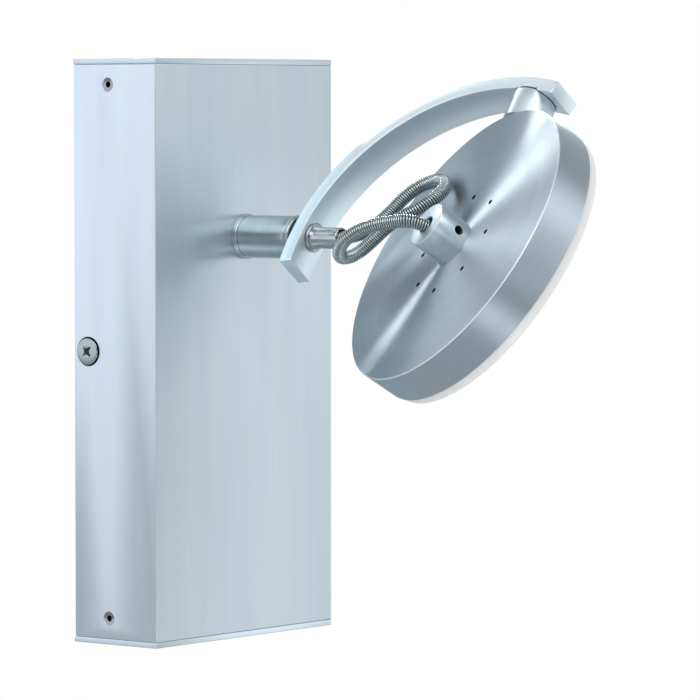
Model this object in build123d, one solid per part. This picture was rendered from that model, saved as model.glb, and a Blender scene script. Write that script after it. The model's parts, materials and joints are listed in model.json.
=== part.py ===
"""Pivoting spotlight wall light: wall housing, turning bow arm and tilting LED head.

Millimetres. The origin is on the wall, in the middle of the four wall slots. +X is to
the right of someone facing the wall, +Y goes into the wall and +Z is up.
"""

import os
from math import cos, radians, sin, sqrt, tan

from build123d import *

# ---------------------------------------------------------------- driving dimensions
# Clearances
RUNNING = 0.05  # between faces and radii that turn on each other
SEAT = 0.05  # between parts that are pushed together by hand

# Housing
HOUSING_WIDTH = 120.0
HOUSING_DEPTH = 46.0
HOUSING_HEIGHT = 250.0
HOUSING_WALL = 1.8
CAP_THICKNESS = 2.5
REAR_STEP = 0.5  # the cover stops this far short of the wall
EDGE = 0.4  # broken outside edges

# End caps and their screws (M3, countersunk)
TAB_THICKNESS = 6.0
TAB_DEPTH = 24.0
TAB_HEIGHT = 18.0
CAP_SCREW_FROM_WALL = 19.5
CAP_SCREW_FROM_END = 11.2
CAP_SCREW_R = 1.5
CAP_SCREW_HEAD_R = 3.0
CAP_SCREW_LENGTH = 7.5
CAP_SOCKET = 2.0  # across flats

# Wall bracket
BRACKET_GAP = 6.2  # from the cover's inner sides
BRACKET_SHORT = 20.0  # shorter than the housing at each end
BRACKET_THICKNESS = 2.0
SLOT_FROM_SIDE = 10.0
SLOT_FROM_END = 20.0
SLOT_WIDTH = 5.0
SLOT_LENGTH = 12.0
EAR_HEIGHT = 26.0
EAR_DEPTH = 18.0
EAR_THICKNESS = 2.5
EAR_GAP = 0.3
ENTRY_R = 11.0
ENTRY_Z = 44.0
GROMMET_WALL = 1.5
GROMMET_LIP = 1.2

# Side screws (M6, raised countersunk) and their nuts
SIDE_SCREW_FROM_WALL = 8.3
SIDE_SCREW_R = 3.0
SIDE_SCREW_HEAD_R = 6.3
SIDE_SCREW_DOME = 1.2
SIDE_SCREW_LENGTH = 12.0
EAR_NUT_FLATS = 10.0
EAR_NUT_THICKNESS = 5.0

# LED driver
DRIVER_WIDTH = 60.0
DRIVER_LENGTH = 100.0
DRIVER_DEPTH = 24.0
DRIVER_WALL = 1.6
DRIVER_LID = 2.0
DRIVER_TOP_Z = 12.0
LUG_LENGTH = 10.0
LUG_WIDTH = 22.0
LUG_THICKNESS = 2.5
BOARD_THICKNESS = 1.6
BOARD_STANDOFF = 4.0
STANDOFF_R = 3.0
TRANSFORMER = (26.0, 13.0, 22.0)
CAPACITOR_R = 5.0
CAPACITOR_LENGTH = 13.0

# Screws through the bracket
M4_R = 2.0
M4_HEAD_R = 3.5
M4_HEAD = 2.4
M3_R = 1.5
M3_HEAD_R = 2.8
M3_HEAD = 1.6
TIP_GAP = 0.3  # from a screw's tip to the wall

# Terminal block and leads
TERMINAL_WIDTH = 38.0
TERMINAL_HEIGHT = 18.0
TERMINAL_DEPTH = 15.0
TERMINAL_FROM_TOP = 37.0  # from the top of the housing to the middle of the block
POLE_PITCH = 12.0
POLE_HOLE_R = 1.6
POLE_FROM_BRACKET = 5.0
TERMINAL_SCREW_R = 1.9
TERMINAL_SCREW_LENGTH = 4.5
TERMINAL_SCREW_SPACING = 9.0
EARTH_FROM_TERMINAL = 26.0
EARTH_TAG_R = 4.5
EARTH_TAG_THICKNESS = 0.8
LEAD_R = 1.1
OUTPUT_LEAD_R = 1.8
OUTPUT_FROM_SIDE = 8.0  # of the driver
LEAD_INSIDE = 3.0  # how far a lead reaches into what it serves

# Pivot barrel on the front of the housing
AXIS_Z = 48.5
BARREL_R = 9.2
BARREL_LENGTH = 25.6
FLANGE_R = 9.7
FLANGE_THICKNESS = 2.5
COLLAR_R = 9.5
COLLAR_THICKNESS = 2.5
SPIGOT_R = 6.5
BARREL_NUT_FLATS = 18.0
BARREL_NUT_THICKNESS = 3.6
SPIGOT_PROUD = 1.0  # the spigot stands this far out of its nut
SADDLE_R = 7.8
SADDLE_THICKNESS = 0.85  # black washer, where the bow is nearest the collar

# Hollow bolt and the stack on its inner end
BOLT_R = 4.0
BOLT_BORE_R = 2.4
BOLT_FLANGE_R = 6.0
BOLT_FLANGE_THICKNESS = 1.8
NOSE_R = 4.6
NOSE_ROOT_R = 5.1
NOSE_BORE_R = 3.6
NOSE_LENGTH = 13.9
NOSE_BORE_DEPTH = 6.5
FRICTION_WASHER = (8.0, 1.0)  # radius, thickness
SPRING_WASHER = (7.5, 1.2)
STOP_WASHER = (8.0, 1.5)
STOP_TAB_REACH = 15.0
STOP_TAB_WIDTH = 5.0
STOP_PIN_R = 1.5
STOP_PIN_AT = 13.0
PIVOT_NUT_FLATS = 13.0
PIVOT_NUT_THICKNESS = 5.0
LOCK_NUT_THICKNESS = 3.5
BOLT_PROUD = 1.4
FLEX_R = 1.8

# Bow arm
ARM_TILT = 36.0  # degrees from upright towards +X, at rest
BOW_DROP = 6.6  # the bow's centre lies this far below the pivot axis, along the bow
POST_LENGTH = 13.5  # from the head's rim to the inside of the bow
BOW_THICKNESS = 6.0
BOW_WIDTH = 16.5
MILLED = 0.2  # least depth of the flats milled inside the bow
BOW_LOWER_OVERRUN = 7.6  # degrees
BOW_UPPER_OVERRUN = 14.6  # degrees

# Tilt pivot and post
TILT_FORWARD = 6.1  # tilt axis in front of the bow's centre
HEAD_TURN = 67.0  # degrees the head is turned from straight ahead, at rest
POST_R = 9.6
TILT_WASHER_R = 9.3
TILT_WASHER_THICKNESS = 0.8
TILT_SCREW_R = 2.5
TILT_SCREW_HEAD_R = 4.6
TILT_SCREW_HEAD = 1.8
TILT_SCREW_LENGTH = 10.0
TILT_POCKET_R = 5.2
TILT_POCKET_DEPTH = 2.5
TILT_SPRING = 0.5
POST_SCREW_DEPTH = 5.6
TAP_SPARE = 0.5  # a tapped hole is this much deeper than its screw

# Lamp head
HEAD_R = 66.0
HEAD_DEPTH = 17.0
RIM_WALL = 2.5
BACK_THICKNESS = 3.0
VENT_R = 1.15
VENT_CIRCLE_R = 23.5
VENT_COUNT = 8
HUB_R = 10.0
HUB_LENGTH = 15.0
HUB_SPIGOT_R = 5.0
HUB_NUT_FLATS = 14.0
HUB_NUT_THICKNESS = 3.0
HUB_SPIGOT_PROUD = 1.0
HUB_BORE_R = 3.6
HUB_BORE_DEPTH = 12.0
HUB_WIRE_R = 2.2
SET_SCREW_R = 2.0
SET_SCREW_HEIGHT = 5.0
SET_SCREW_TURN = -84.0
SET_SCREW_SUNK = 1.5
PAD_THICKNESS = 0.5
LED_BOARD_THICKNESS = 1.6
LED_BOARD_R = 58.0
LED_BOARD_INNER_R = 28.0
LED_SIZE = 3.5
LED_THICKNESS = 0.8
LED_INNER_RING_R = 36.0
LED_INNER_COUNT = 6
LED_OUTER_RING_R = 50.0
LED_OUTER_COUNT = 10
BOARD_SCREW_CIRCLE_R = 43.0
BOARD_SCREW_COUNT = 4
BOARD_SCREW_DEPTH = 2.0
DIFFUSER_INSET = 1.0  # its edge lies this far inside the rim's outside
DIFFUSER_PROUD = 4.5
DIFFUSER_WALL = 2.0
DIFFUSER_SKIRT = 4.5
HEAD_LEAD_R = 0.8
HEAD_LEAD_SPREAD = 2.2
HEAD_LEAD_REACH = 31.0

# Spring-wound conduit: control points between its two straight ends
CONDUIT_R = 2.9
CONDUIT_STRAIGHT = 7.0  # out of the nose before the first bend
CONDUIT_LIFT = 3.5  # out of the hub before the last bend
CONDUIT_POINTS = [
    (6.5, -115.5, 56.0),
    (12.0, -126.5, 69.0),
    (17.0, -135.5, 73.5),
    (12.5, -144.5, 73.0),
    (5.0, -149.0, 69.0),
    (-4.5, -146.0, 63.0),
    (-9.5, -133.5, 56.5),
    (-10.5, -122.5, 47.5),
    (-12.2, -116.0, 42.0),
    (-19.5, -114.2, 40.6),
    (-27.0, -117.8, 43.6),
    (-31.0, -124.0, 49.0),
    (-30.0, -133.0, 54.0),
    (-27.5, -143.2, 56.5),
]

# ---------------------------------------------------------------- places worked out
HALF_W = HOUSING_WIDTH / 2
HALF_H = HOUSING_HEIGHT / 2
TERMINAL_Z = HALF_H - TERMINAL_FROM_TOP
EARTH_Z = TERMINAL_Z - EARTH_FROM_TERMINAL
INNER_HALF_W = HALF_W - HOUSING_WALL
INNER_FRONT = HOUSING_DEPTH - HOUSING_WALL  # distance of the inner front face from the wall
BRACKET_HALF_W = INNER_HALF_W - BRACKET_GAP
BRACKET_HALF_H = HALF_H - BRACKET_SHORT
SLOT_X = BRACKET_HALF_W - SLOT_FROM_SIDE
SLOT_Z = BRACKET_HALF_H - SLOT_FROM_END

# Distances from the wall along the pivot axis
BARREL_FROM = HOUSING_DEPTH + FLANGE_THICKNESS
BARREL_TO = BARREL_FROM + BARREL_LENGTH
COLLAR_TO = BARREL_TO + COLLAR_THICKNESS
SPIGOT_FROM = INNER_FRONT - BARREL_NUT_THICKNESS - SPIGOT_PROUD
BOW_INNER_R = HEAD_R + POST_LENGTH
BOW_OUTER_R = BOW_INNER_R + BOW_THICKNESS
BOW_CENTRE = COLLAR_TO + RUNNING + SADDLE_THICKNESS + BOW_OUTER_R
BOLT_SEAT = BOW_CENTRE - BOW_INNER_R - MILLED
NOSE_FROM = BOLT_SEAT + BOLT_FLANGE_THICKNESS
NOSE_TO = NOSE_FROM + NOSE_LENGTH
CONDUIT_FROM = NOSE_TO - NOSE_BORE_DEPTH
FRICTION_TO = SPIGOT_FROM - RUNNING
SPRING_TO = FRICTION_TO - FRICTION_WASHER[1]
STOP_TO = SPRING_TO - SPRING_WASHER[1]
PIVOT_NUT_TO = STOP_TO - STOP_WASHER[1]
LOCK_NUT_TO = PIVOT_NUT_TO - PIVOT_NUT_THICKNESS
BOLT_FROM = LOCK_NUT_TO - LOCK_NUT_THICKNESS - BOLT_PROUD

# Directions and frames. In ARM local x is across the bow, y along the post and z away
# from the wall. In HEAD local z points out of the back of the head and x up the post.
POST_DIR = Vector(sin(radians(ARM_TILT)), 0, cos(radians(ARM_TILT)))
ACROSS = Vector(cos(radians(ARM_TILT)), 0, -sin(radians(ARM_TILT)))
HEAD_BACK = Vector(0, 1, 0) * cos(radians(HEAD_TURN)) - ACROSS * sin(radians(HEAD_TURN))
PIVOT = Plane(origin=(0, 0, AXIS_Z), x_dir=(1, 0, 0), z_dir=(0, -1, 0))
ARM = Plane(origin=(0, 0, AXIS_Z), x_dir=ACROSS, z_dir=(0, -1, 0))
HEAD_CENTRE = Vector(0, -(BOW_CENTRE + TILT_FORWARD), AXIS_Z) - POST_DIR * BOW_DROP
HEAD = Plane(origin=HEAD_CENTRE, x_dir=POST_DIR, z_dir=HEAD_BACK)
POST = Plane(origin=HEAD_CENTRE, x_dir=HEAD_BACK, z_dir=POST_DIR)

# Heights in the HEAD frame
BACK_Z = HEAD_DEPTH / 2
BACK_INNER_Z = BACK_Z - BACK_THICKNESS
PAD_Z = BACK_INNER_Z - PAD_THICKNESS
LED_BOARD_Z = PAD_Z - LED_BOARD_THICKNESS
HUB_TOP_Z = BACK_Z + HUB_LENGTH
HUB_FLOOR_Z = HUB_TOP_Z - HUB_BORE_DEPTH
HUB_SPIGOT_Z = BACK_INNER_Z - HUB_NUT_THICKNESS - HUB_SPIGOT_PROUD

# Heights in the POST frame, from the head's centre
TILT_SEAT = BOW_INNER_R + MILLED
POST_TOP = TILT_SEAT - TILT_WASHER_THICKNESS - RUNNING
TILT_POCKET_FLOOR = sqrt(BOW_OUTER_R**2 - TILT_FORWARD**2) - TILT_POCKET_DEPTH
TILT_HEAD_Z = TILT_POCKET_FLOOR + TILT_SPRING + RUNNING
RIM_INNER_R = HEAD_R - RIM_WALL
DIFFUSER_R = HEAD_R - DIFFUSER_INSET
POST_SCREW_HEAD_Z = sqrt(RIM_INNER_R**2 - M4_HEAD_R**2) - RUNNING

BASE = (Align.CENTER, Align.CENTER, Align.MIN)


# ---------------------------------------------------------------- shapes
def block(x0, x1, y0, y1, z0, z1):
    """Box between two corners."""
    size = (abs(x1 - x0), abs(y1 - y0), abs(z1 - z0))
    return Pos((x0 + x1) / 2, (y0 + y1) / 2, (z0 + z1) / 2) * Box(*size)


def rod(r, z0, z1):
    """Cylinder along local z."""
    return Pos(0, 0, min(z0, z1)) * Cylinder(r, abs(z1 - z0), align=BASE)


def ring(r_out, r_in, z0, z1):
    """Flat ring along local z."""
    return rod(r_out, z0, z1) - rod(r_in, z0 - 1, z1 + 1)


def taper(r0, r1, z0, z1):
    """Cone frustum from radius r0 at z0 to r1 at z1."""
    low, high = (r0, r1) if z0 < z1 else (r1, r0)
    return Pos(0, 0, min(z0, z1)) * Cone(low, high, abs(z1 - z0), align=BASE)


def hexagon(flats, z0, z1):
    """Hexagonal bar, given its size across flats."""
    face = RegularPolygon(flats / 2, 6, major_radius=False)
    return Pos(0, 0, min(z0, z1)) * extrude(face, abs(z1 - z0))


def turned(points):
    """Solid of revolution about local z from (radius, z) points."""
    outline = Polyline(*[(r, 0, z) for r, z in points], close=True)
    return revolve(make_face(outline), Axis.Z)


def place(frame, shape):
    return frame.location * shape


def route_radii(points):
    """One bend radius for each corner: 0.45 of its shorter run over tan(half the turn)."""
    runs = [Vector(b) - Vector(a) for a, b in zip(points, points[1:])]
    return [
        0.45 * min(a.length, b.length) / tan(radians(a.get_angle(b)) / 2)
        for a, b in zip(runs, runs[1:])
    ]


def lead(points, r, radii=None):
    """Round wire along straight runs joined by tangent arcs."""
    path = FilletPolyline(*points, radius=radii or route_radii(points))
    return sweep(Plane(origin=path @ 0, z_dir=path % 0) * Circle(r), path=path)


def both_sides(shape):
    return [shape, mirror(shape, Plane.YZ)]


def screw_side(from_wall, z):
    """Frame on the right-hand side face of the housing, local z pointing out."""
    return Plane(origin=(HALF_W, -from_wall, z), x_dir=(0, 1, 0), z_dir=(1, 0, 0))


# ---------------------------------------------------------------- housing
CAP_SCREW_Z = HALF_H - CAP_SCREW_FROM_END
CAP_SCREW_PLACES = [screw_side(CAP_SCREW_FROM_WALL, z) for z in (CAP_SCREW_Z, -CAP_SCREW_Z)]
SIDE_SCREW_PLACE = screw_side(SIDE_SCREW_FROM_WALL, 0)


def countersink(head_r, hole_r, depth):
    """Cutter for a 90 degree countersink in a face at local z = 0, and its through hole."""
    return taper(head_r + 1, hole_r, 1, hole_r - head_r) + rod(hole_r, -depth, 1)


def housing_shell():
    top = HALF_H - CAP_THICKNESS
    shell = block(-HALF_W, HALF_W, -HOUSING_DEPTH, -REAR_STEP, -top, top)
    front_edges = shell.edges().filter_by(Axis.Z).group_by(Axis.Y)[0]
    shell = fillet(front_edges, EDGE)
    shell -= block(-INNER_HALF_W, INNER_HALF_W, -INNER_FRONT, 0, -top - 1, top + 1)
    shell -= place(PIVOT, rod(SPIGOT_R + SEAT, INNER_FRONT - 1, HOUSING_DEPTH + 1))
    depth = HOUSING_WALL + 1
    small = countersink(CAP_SCREW_HEAD_R + SEAT, CAP_SCREW_R + SEAT, depth)
    large = countersink(SIDE_SCREW_HEAD_R + SEAT, SIDE_SCREW_R + SEAT, depth)
    cutters = [place(p, small) for p in CAP_SCREW_PLACES] + [place(SIDE_SCREW_PLACE, large)]
    for cutter in cutters:
        for side in both_sides(cutter):
            shell -= side
    return shell


def top_cap():
    plate = block(-HALF_W, HALF_W, -HOUSING_DEPTH, 0, HALF_H - CAP_THICKNESS, HALF_H)
    plate = fillet(plate.edges().filter_by(Axis.Z).group_by(Axis.Y)[0], EDGE)
    inner = INNER_HALF_W - SEAT
    near = -CAP_SCREW_FROM_WALL + TAB_DEPTH / 2
    z1 = HALF_H - CAP_THICKNESS
    tab = block(inner - TAB_THICKNESS, inner, near - TAB_DEPTH, near, z1 - TAB_HEIGHT, z1)
    tab -= place(CAP_SCREW_PLACES[0], rod(CAP_SCREW_R + SEAT, -2 * TAB_THICKNESS, 1))
    return plate + both_sides(tab)


def bottom_cap():
    return mirror(top_cap(), Plane.XY)


def cap_screws():
    """M3 countersunk screws with a hexagon socket, one at each corner of the two sides."""
    drop = CAP_SCREW_HEAD_R - CAP_SCREW_R
    screw = taper(CAP_SCREW_HEAD_R - SEAT, CAP_SCREW_R, -SEAT, -drop)
    screw += rod(CAP_SCREW_R, -CAP_SCREW_LENGTH, -drop)
    screw -= hexagon(CAP_SOCKET, -CAP_SCREW_HEAD_R / 2, 1)
    screws = [s for p in CAP_SCREW_PLACES for s in both_sides(place(p, screw))]
    return Compound(children=screws)


def side_screws():
    """Raised countersunk screws with a cross recess, one half way up each side."""
    cone_drop = SIDE_SCREW_HEAD_R - SIDE_SCREW_R
    sphere_r = (SIDE_SCREW_HEAD_R**2 + SIDE_SCREW_DOME**2) / (2 * SIDE_SCREW_DOME)
    dome = Pos(0, 0, SIDE_SCREW_DOME - sphere_r) * Sphere(sphere_r)
    dome &= rod(SIDE_SCREW_HEAD_R - SEAT, -SEAT, SIDE_SCREW_DOME + 1)
    screw = dome + taper(SIDE_SCREW_HEAD_R - SEAT, SIDE_SCREW_R, -SEAT, -cone_drop)
    screw += rod(SIDE_SCREW_R, -SIDE_SCREW_LENGTH, -cone_drop)
    arm_long = SIDE_SCREW_HEAD_R * 1.05
    arm_wide = SIDE_SCREW_HEAD_R * 0.2
    cross = Box(arm_long, arm_wide, cone_drop * 2) + Box(arm_wide, arm_long, cone_drop * 2)
    screw -= Rot(0, 0, 45) * cross
    return Compound(children=both_sides(place(SIDE_SCREW_PLACE, screw)))


# ---------------------------------------------------------------- wall bracket
EAR_OUT = INNER_HALF_W - EAR_GAP
EAR_IN = EAR_OUT - EAR_THICKNESS
DRIVER_BOTTOM_Z = DRIVER_TOP_Z - DRIVER_LENGTH
LUG_SCREW_Z = (DRIVER_TOP_Z + LUG_LENGTH / 2, DRIVER_BOTTOM_Z - LUG_LENGTH / 2)
TERMINAL_SCREW_X = (-POLE_PITCH / 2, POLE_PITCH / 2)


def bracket_hole(r, x, z):
    return Pos(x, 0, z) * Rot(90, 0, 0) * Cylinder(r, BRACKET_THICKNESS * 3)


def wall_bracket():
    half_w = BRACKET_HALF_W
    plate = block(-half_w, half_w, -BRACKET_THICKNESS, 0, -BRACKET_HALF_H, BRACKET_HALF_H)
    plate = fillet(plate.edges().filter_by(Axis.Y), EAR_THICKNESS)
    for x in (-SLOT_X, SLOT_X):
        for z in (-SLOT_Z, SLOT_Z):
            slot = extrude(Plane.XZ * SlotOverall(SLOT_LENGTH, SLOT_WIDTH), 3 * BRACKET_THICKNESS)
            plate -= Pos(x, 1, z) * slot
    plate -= bracket_hole(ENTRY_R, 0, ENTRY_Z)
    for z in LUG_SCREW_Z:
        plate -= bracket_hole(M4_R + SEAT, 0, z)
    for x in TERMINAL_SCREW_X:
        plate -= bracket_hole(M3_R + SEAT, x, TERMINAL_Z)
    plate -= bracket_hole(M4_R + SEAT, 0, EARTH_Z)
    half_ear = EAR_HEIGHT / 2
    ear = block(EAR_IN, EAR_OUT, -EAR_DEPTH, 0, -half_ear, half_ear)
    ear += block(half_w - EAR_THICKNESS, EAR_OUT, -BRACKET_THICKNESS, 0, -half_ear, half_ear)
    ear -= place(
        SIDE_SCREW_PLACE,
        countersink(SIDE_SCREW_HEAD_R + SEAT, SIDE_SCREW_R + SEAT, SIDE_SCREW_LENGTH),
    )
    return plate + both_sides(ear)


def ear_nuts():
    """Hexagon nuts pressed on the inner side of the bracket's ears."""
    back = EAR_IN - HALF_W
    nut = hexagon(EAR_NUT_FLATS, back - EAR_NUT_THICKNESS, back)
    nut -= rod(SIDE_SCREW_R + SEAT, back - EAR_NUT_THICKNESS - 1, back + 1)
    return Compound(children=both_sides(place(SIDE_SCREW_PLACE, nut)))


def entry_grommet():
    """Rubber ring in the bracket's cable entry."""
    outer, inner = ENTRY_R - SEAT, ENTRY_R - GROMMET_WALL
    sleeve = ring(outer, inner, REAR_STEP, BRACKET_THICKNESS + SEAT)
    lip = ring(ENTRY_R + GROMMET_WALL, inner, BRACKET_THICKNESS, BRACKET_THICKNESS + GROMMET_LIP)
    frame = Plane(origin=(0, 0, ENTRY_Z), x_dir=(1, 0, 0), z_dir=(0, -1, 0))
    return place(frame, sleeve + lip)


def pan_screw(r, head_r, head, seat_y, tip_y):
    """Pan-head screw along Y: the head stands in front of seat_y and the tip is at tip_y."""
    frame = Plane(origin=(0, seat_y, 0), x_dir=(1, 0, 0), z_dir=(0, -1, 0))
    button = rod(head_r, 0, head)
    button = fillet(button.faces().sort_by(Axis.Z)[-1].edges(), head * 0.4)
    button -= block(-head_r, head_r, -r * 0.3, r * 0.3, head * 0.5, head + 1)
    return place(frame, button + rod(r, seat_y - tip_y, 0))


def bracket_screws():
    """Two screws for the driver's lugs and two for the terminal block."""
    lug_seat = -BRACKET_THICKNESS - LUG_THICKNESS
    block_seat = -BRACKET_THICKNESS - TERMINAL_DEPTH
    lug = pan_screw(M4_R, M4_HEAD_R, M4_HEAD, lug_seat, -TIP_GAP)
    small = pan_screw(M3_R, M3_HEAD_R, M3_HEAD, block_seat, -TIP_GAP)
    screws = [Pos(0, 0, z) * lug for z in LUG_SCREW_Z]
    screws += [Pos(x, 0, TERMINAL_Z) * small for x in TERMINAL_SCREW_X]
    return Compound(children=screws)


# ---------------------------------------------------------------- driver and wiring
DRIVER_BACK = -BRACKET_THICKNESS
DRIVER_FRONT = DRIVER_BACK - DRIVER_DEPTH
DRIVER_MID_Z = (DRIVER_TOP_Z + DRIVER_BOTTOM_Z) / 2
LEAD_Y = -BRACKET_THICKNESS - POLE_FROM_BRACKET
OUTPUT_X = DRIVER_WIDTH / 2 - OUTPUT_FROM_SIDE
OUTPUT_Y = DRIVER_BACK - DRIVER_DEPTH / 2
BOARD_BACK = DRIVER_BACK - DRIVER_WALL - BOARD_STANDOFF
BOARD_FRONT = BOARD_BACK - BOARD_THICKNESS
INNER_DRIVER_W = DRIVER_WIDTH / 2 - DRIVER_WALL


def wire_hole(r, x, y, z):
    return Pos(x, y, z) * Cylinder(r, 4 * DRIVER_WALL)


def driver_case():
    half = DRIVER_WIDTH / 2
    lid_back = DRIVER_FRONT + DRIVER_LID
    case = block(-half, half, lid_back, DRIVER_BACK, DRIVER_BOTTOM_Z, DRIVER_TOP_Z)
    case -= block(
        -INNER_DRIVER_W,
        INNER_DRIVER_W,
        lid_back - 1,
        DRIVER_BACK - DRIVER_WALL,
        DRIVER_BOTTOM_Z + DRIVER_WALL,
        DRIVER_TOP_Z - DRIVER_WALL,
    )
    lug_front = DRIVER_BACK - LUG_THICKNESS
    low, high = DRIVER_BOTTOM_Z - LUG_LENGTH, DRIVER_TOP_Z + LUG_LENGTH
    half_lug = LUG_WIDTH / 2
    case += block(-half_lug, half_lug, lug_front, DRIVER_BACK, DRIVER_TOP_Z, high)
    case += block(-half_lug, half_lug, lug_front, DRIVER_BACK, low, DRIVER_BOTTOM_Z)
    for z in LUG_SCREW_Z:
        case -= Pos(0, DRIVER_BACK, z) * Rot(90, 0, 0) * Cylinder(M4_R + SEAT, 4 * LUG_THICKNESS)
    for x in (-POLE_PITCH, POLE_PITCH):
        case -= wire_hole(LEAD_R + SEAT, x, LEAD_Y, DRIVER_TOP_Z)
    case -= wire_hole(OUTPUT_LEAD_R + SEAT, OUTPUT_X, OUTPUT_Y, DRIVER_TOP_Z)
    for x in (-1, 1):
        for z in (-1, 1):
            post_x = x * (INNER_DRIVER_W - STANDOFF_R)
            post_z = DRIVER_MID_Z + z * (DRIVER_LENGTH / 2 - DRIVER_WALL - STANDOFF_R)
            standoff = rod(STANDOFF_R, 0, BOARD_STANDOFF)
            frame = Plane(origin=(post_x, DRIVER_BACK - DRIVER_WALL, post_z), z_dir=(0, -1, 0))
            case += place(frame, standoff)
    return case


def driver_lid():
    half = DRIVER_WIDTH / 2
    lid = block(
        -half, half, DRIVER_FRONT, DRIVER_FRONT + DRIVER_LID, DRIVER_BOTTOM_Z, DRIVER_TOP_Z
    )
    lid = fillet(lid.faces().sort_by(Axis.Y)[0].edges(), DRIVER_LID / 4)
    inner = INNER_DRIVER_W - SEAT
    low = DRIVER_BOTTOM_Z + DRIVER_WALL + SEAT
    high = DRIVER_TOP_Z - DRIVER_WALL - SEAT
    lip_back = DRIVER_FRONT + 2 * DRIVER_LID
    lip = block(-inner, inner, DRIVER_FRONT + DRIVER_LID, lip_back, low, high)
    wall = DRIVER_WALL
    lip -= block(
        -inner + wall, inner - wall, DRIVER_FRONT, lip_back + 1, low + wall, high - wall
    )
    return lid + lip


def driver_board():
    half_w = INNER_DRIVER_W - SEAT
    half_l = DRIVER_LENGTH / 2 - DRIVER_WALL - SEAT
    board = block(
        -half_w, half_w, BOARD_FRONT, BOARD_BACK, DRIVER_MID_Z - half_l, DRIVER_MID_Z + half_l
    )
    for x in (-POLE_PITCH, POLE_PITCH):
        board -= block(
            x - 2 * LEAD_R, x + 2 * LEAD_R, BOARD_FRONT - 1, BOARD_BACK + 1,
            DRIVER_TOP_Z - DRIVER_WALL - 2 * LEAD_INSIDE, DRIVER_TOP_Z,
        )
    return board


def driver_transformer():
    """Ferrite core with its winding, on the board."""
    width, depth, height = TRANSFORMER
    core = block(-width / 2, width / 2, BOARD_FRONT - depth, BOARD_FRONT, -height / 2, height / 2)
    window = block(
        -width / 2 + width / 6, width / 2 - width / 6, BOARD_FRONT - depth - 1, BOARD_FRONT + 1,
        -height / 4, height / 4,
    )
    winding = Pos(0, BOARD_FRONT - depth / 2, 0) * Box(width / 2, depth * 0.8, height / 2)
    return Pos(0, 0, DRIVER_MID_Z) * (core - window + winding)


def driver_capacitors():
    """Two can capacitors that stand on the board."""
    can = rod(CAPACITOR_R, 0, CAPACITOR_LENGTH)
    can = fillet(can.faces().sort_by(Axis.Z)[-1].edges(), CAPACITOR_R / 5)
    cans = []
    for z in (DRIVER_LENGTH / 4, DRIVER_LENGTH / 4 + 2.5 * CAPACITOR_R):
        frame = Plane(origin=(0, BOARD_FRONT, DRIVER_MID_Z - z), z_dir=(0, -1, 0))
        cans.append(place(frame, can))
    return Compound(children=cans)


def terminal_block():
    half_w, half_h = TERMINAL_WIDTH / 2, TERMINAL_HEIGHT / 2
    front = -BRACKET_THICKNESS - TERMINAL_DEPTH
    body = block(
        -half_w, half_w, front, -BRACKET_THICKNESS, TERMINAL_Z - half_h, TERMINAL_Z + half_h
    )
    body = fillet(body.faces().sort_by(Axis.Y)[0].edges(), EDGE * 2)
    for x in (-POLE_PITCH, 0, POLE_PITCH):
        body -= Pos(x, LEAD_Y, TERMINAL_Z) * Cylinder(POLE_HOLE_R, 2 * TERMINAL_HEIGHT)
        for z in (-TERMINAL_SCREW_SPACING / 2, TERMINAL_SCREW_SPACING / 2):
            frame = Plane(origin=(x, LEAD_Y, TERMINAL_Z + z), z_dir=(0, -1, 0))
            body -= place(frame, rod(TERMINAL_SCREW_R + SEAT, 0, TERMINAL_DEPTH))
    for x in TERMINAL_SCREW_X:
        frame = Plane(origin=(x, 0, TERMINAL_Z), z_dir=(0, -1, 0))
        body -= place(frame, rod(M3_R + SEAT, 0, 2 * TERMINAL_DEPTH))
    return body


def terminal_screws():
    """Six slotted grub screws, two to each pole."""
    start = LEAD_R + SEAT
    screw = rod(TERMINAL_SCREW_R, start, start + TERMINAL_SCREW_LENGTH)
    slot = TERMINAL_SCREW_R * 0.25
    top = start + TERMINAL_SCREW_LENGTH
    screw -= block(-TERMINAL_SCREW_R, TERMINAL_SCREW_R, -slot, slot, top - 1, top + 1)
    screws = []
    for x in (-POLE_PITCH, 0, POLE_PITCH):
        for z in (-TERMINAL_SCREW_SPACING / 2, TERMINAL_SCREW_SPACING / 2):
            frame = Plane(origin=(x, LEAD_Y, TERMINAL_Z + z), z_dir=(0, -1, 0))
            screws.append(place(frame, screw))
    return Compound(children=screws)


def earth_screw():
    seat = -BRACKET_THICKNESS - EARTH_TAG_THICKNESS
    return Pos(0, 0, EARTH_Z) * pan_screw(M4_R, M4_HEAD_R, M4_HEAD, seat, -TIP_GAP)


EARTH_SLEEVE_R = LEAD_R + 0.5
EARTH_SLEEVE_LENGTH = 3.0


def earth_tag():
    """Ring tag under the earth screw, with the sleeve that holds its lead."""
    back, front = BRACKET_THICKNESS, BRACKET_THICKNESS + EARTH_TAG_THICKNESS
    frame = Plane(origin=(0, 0, EARTH_Z), x_dir=(1, 0, 0), z_dir=(0, -1, 0))
    tag = ring(EARTH_TAG_R, M4_R + SEAT, back, front)
    tongue_to = EARTH_TAG_R + EARTH_SLEEVE_LENGTH
    tag += block(-LEAD_R, LEAD_R, EARTH_TAG_R - 1, tongue_to, back, front)
    along = Plane(origin=(0, EARTH_TAG_R, back + EARTH_SLEEVE_R), z_dir=(0, 1, 0))
    tag += place(along, rod(EARTH_SLEEVE_R, 0, EARTH_SLEEVE_LENGTH))
    return place(frame, tag - place(along, rod(LEAD_R, 0, 2 * EARTH_SLEEVE_LENGTH)))


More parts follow.
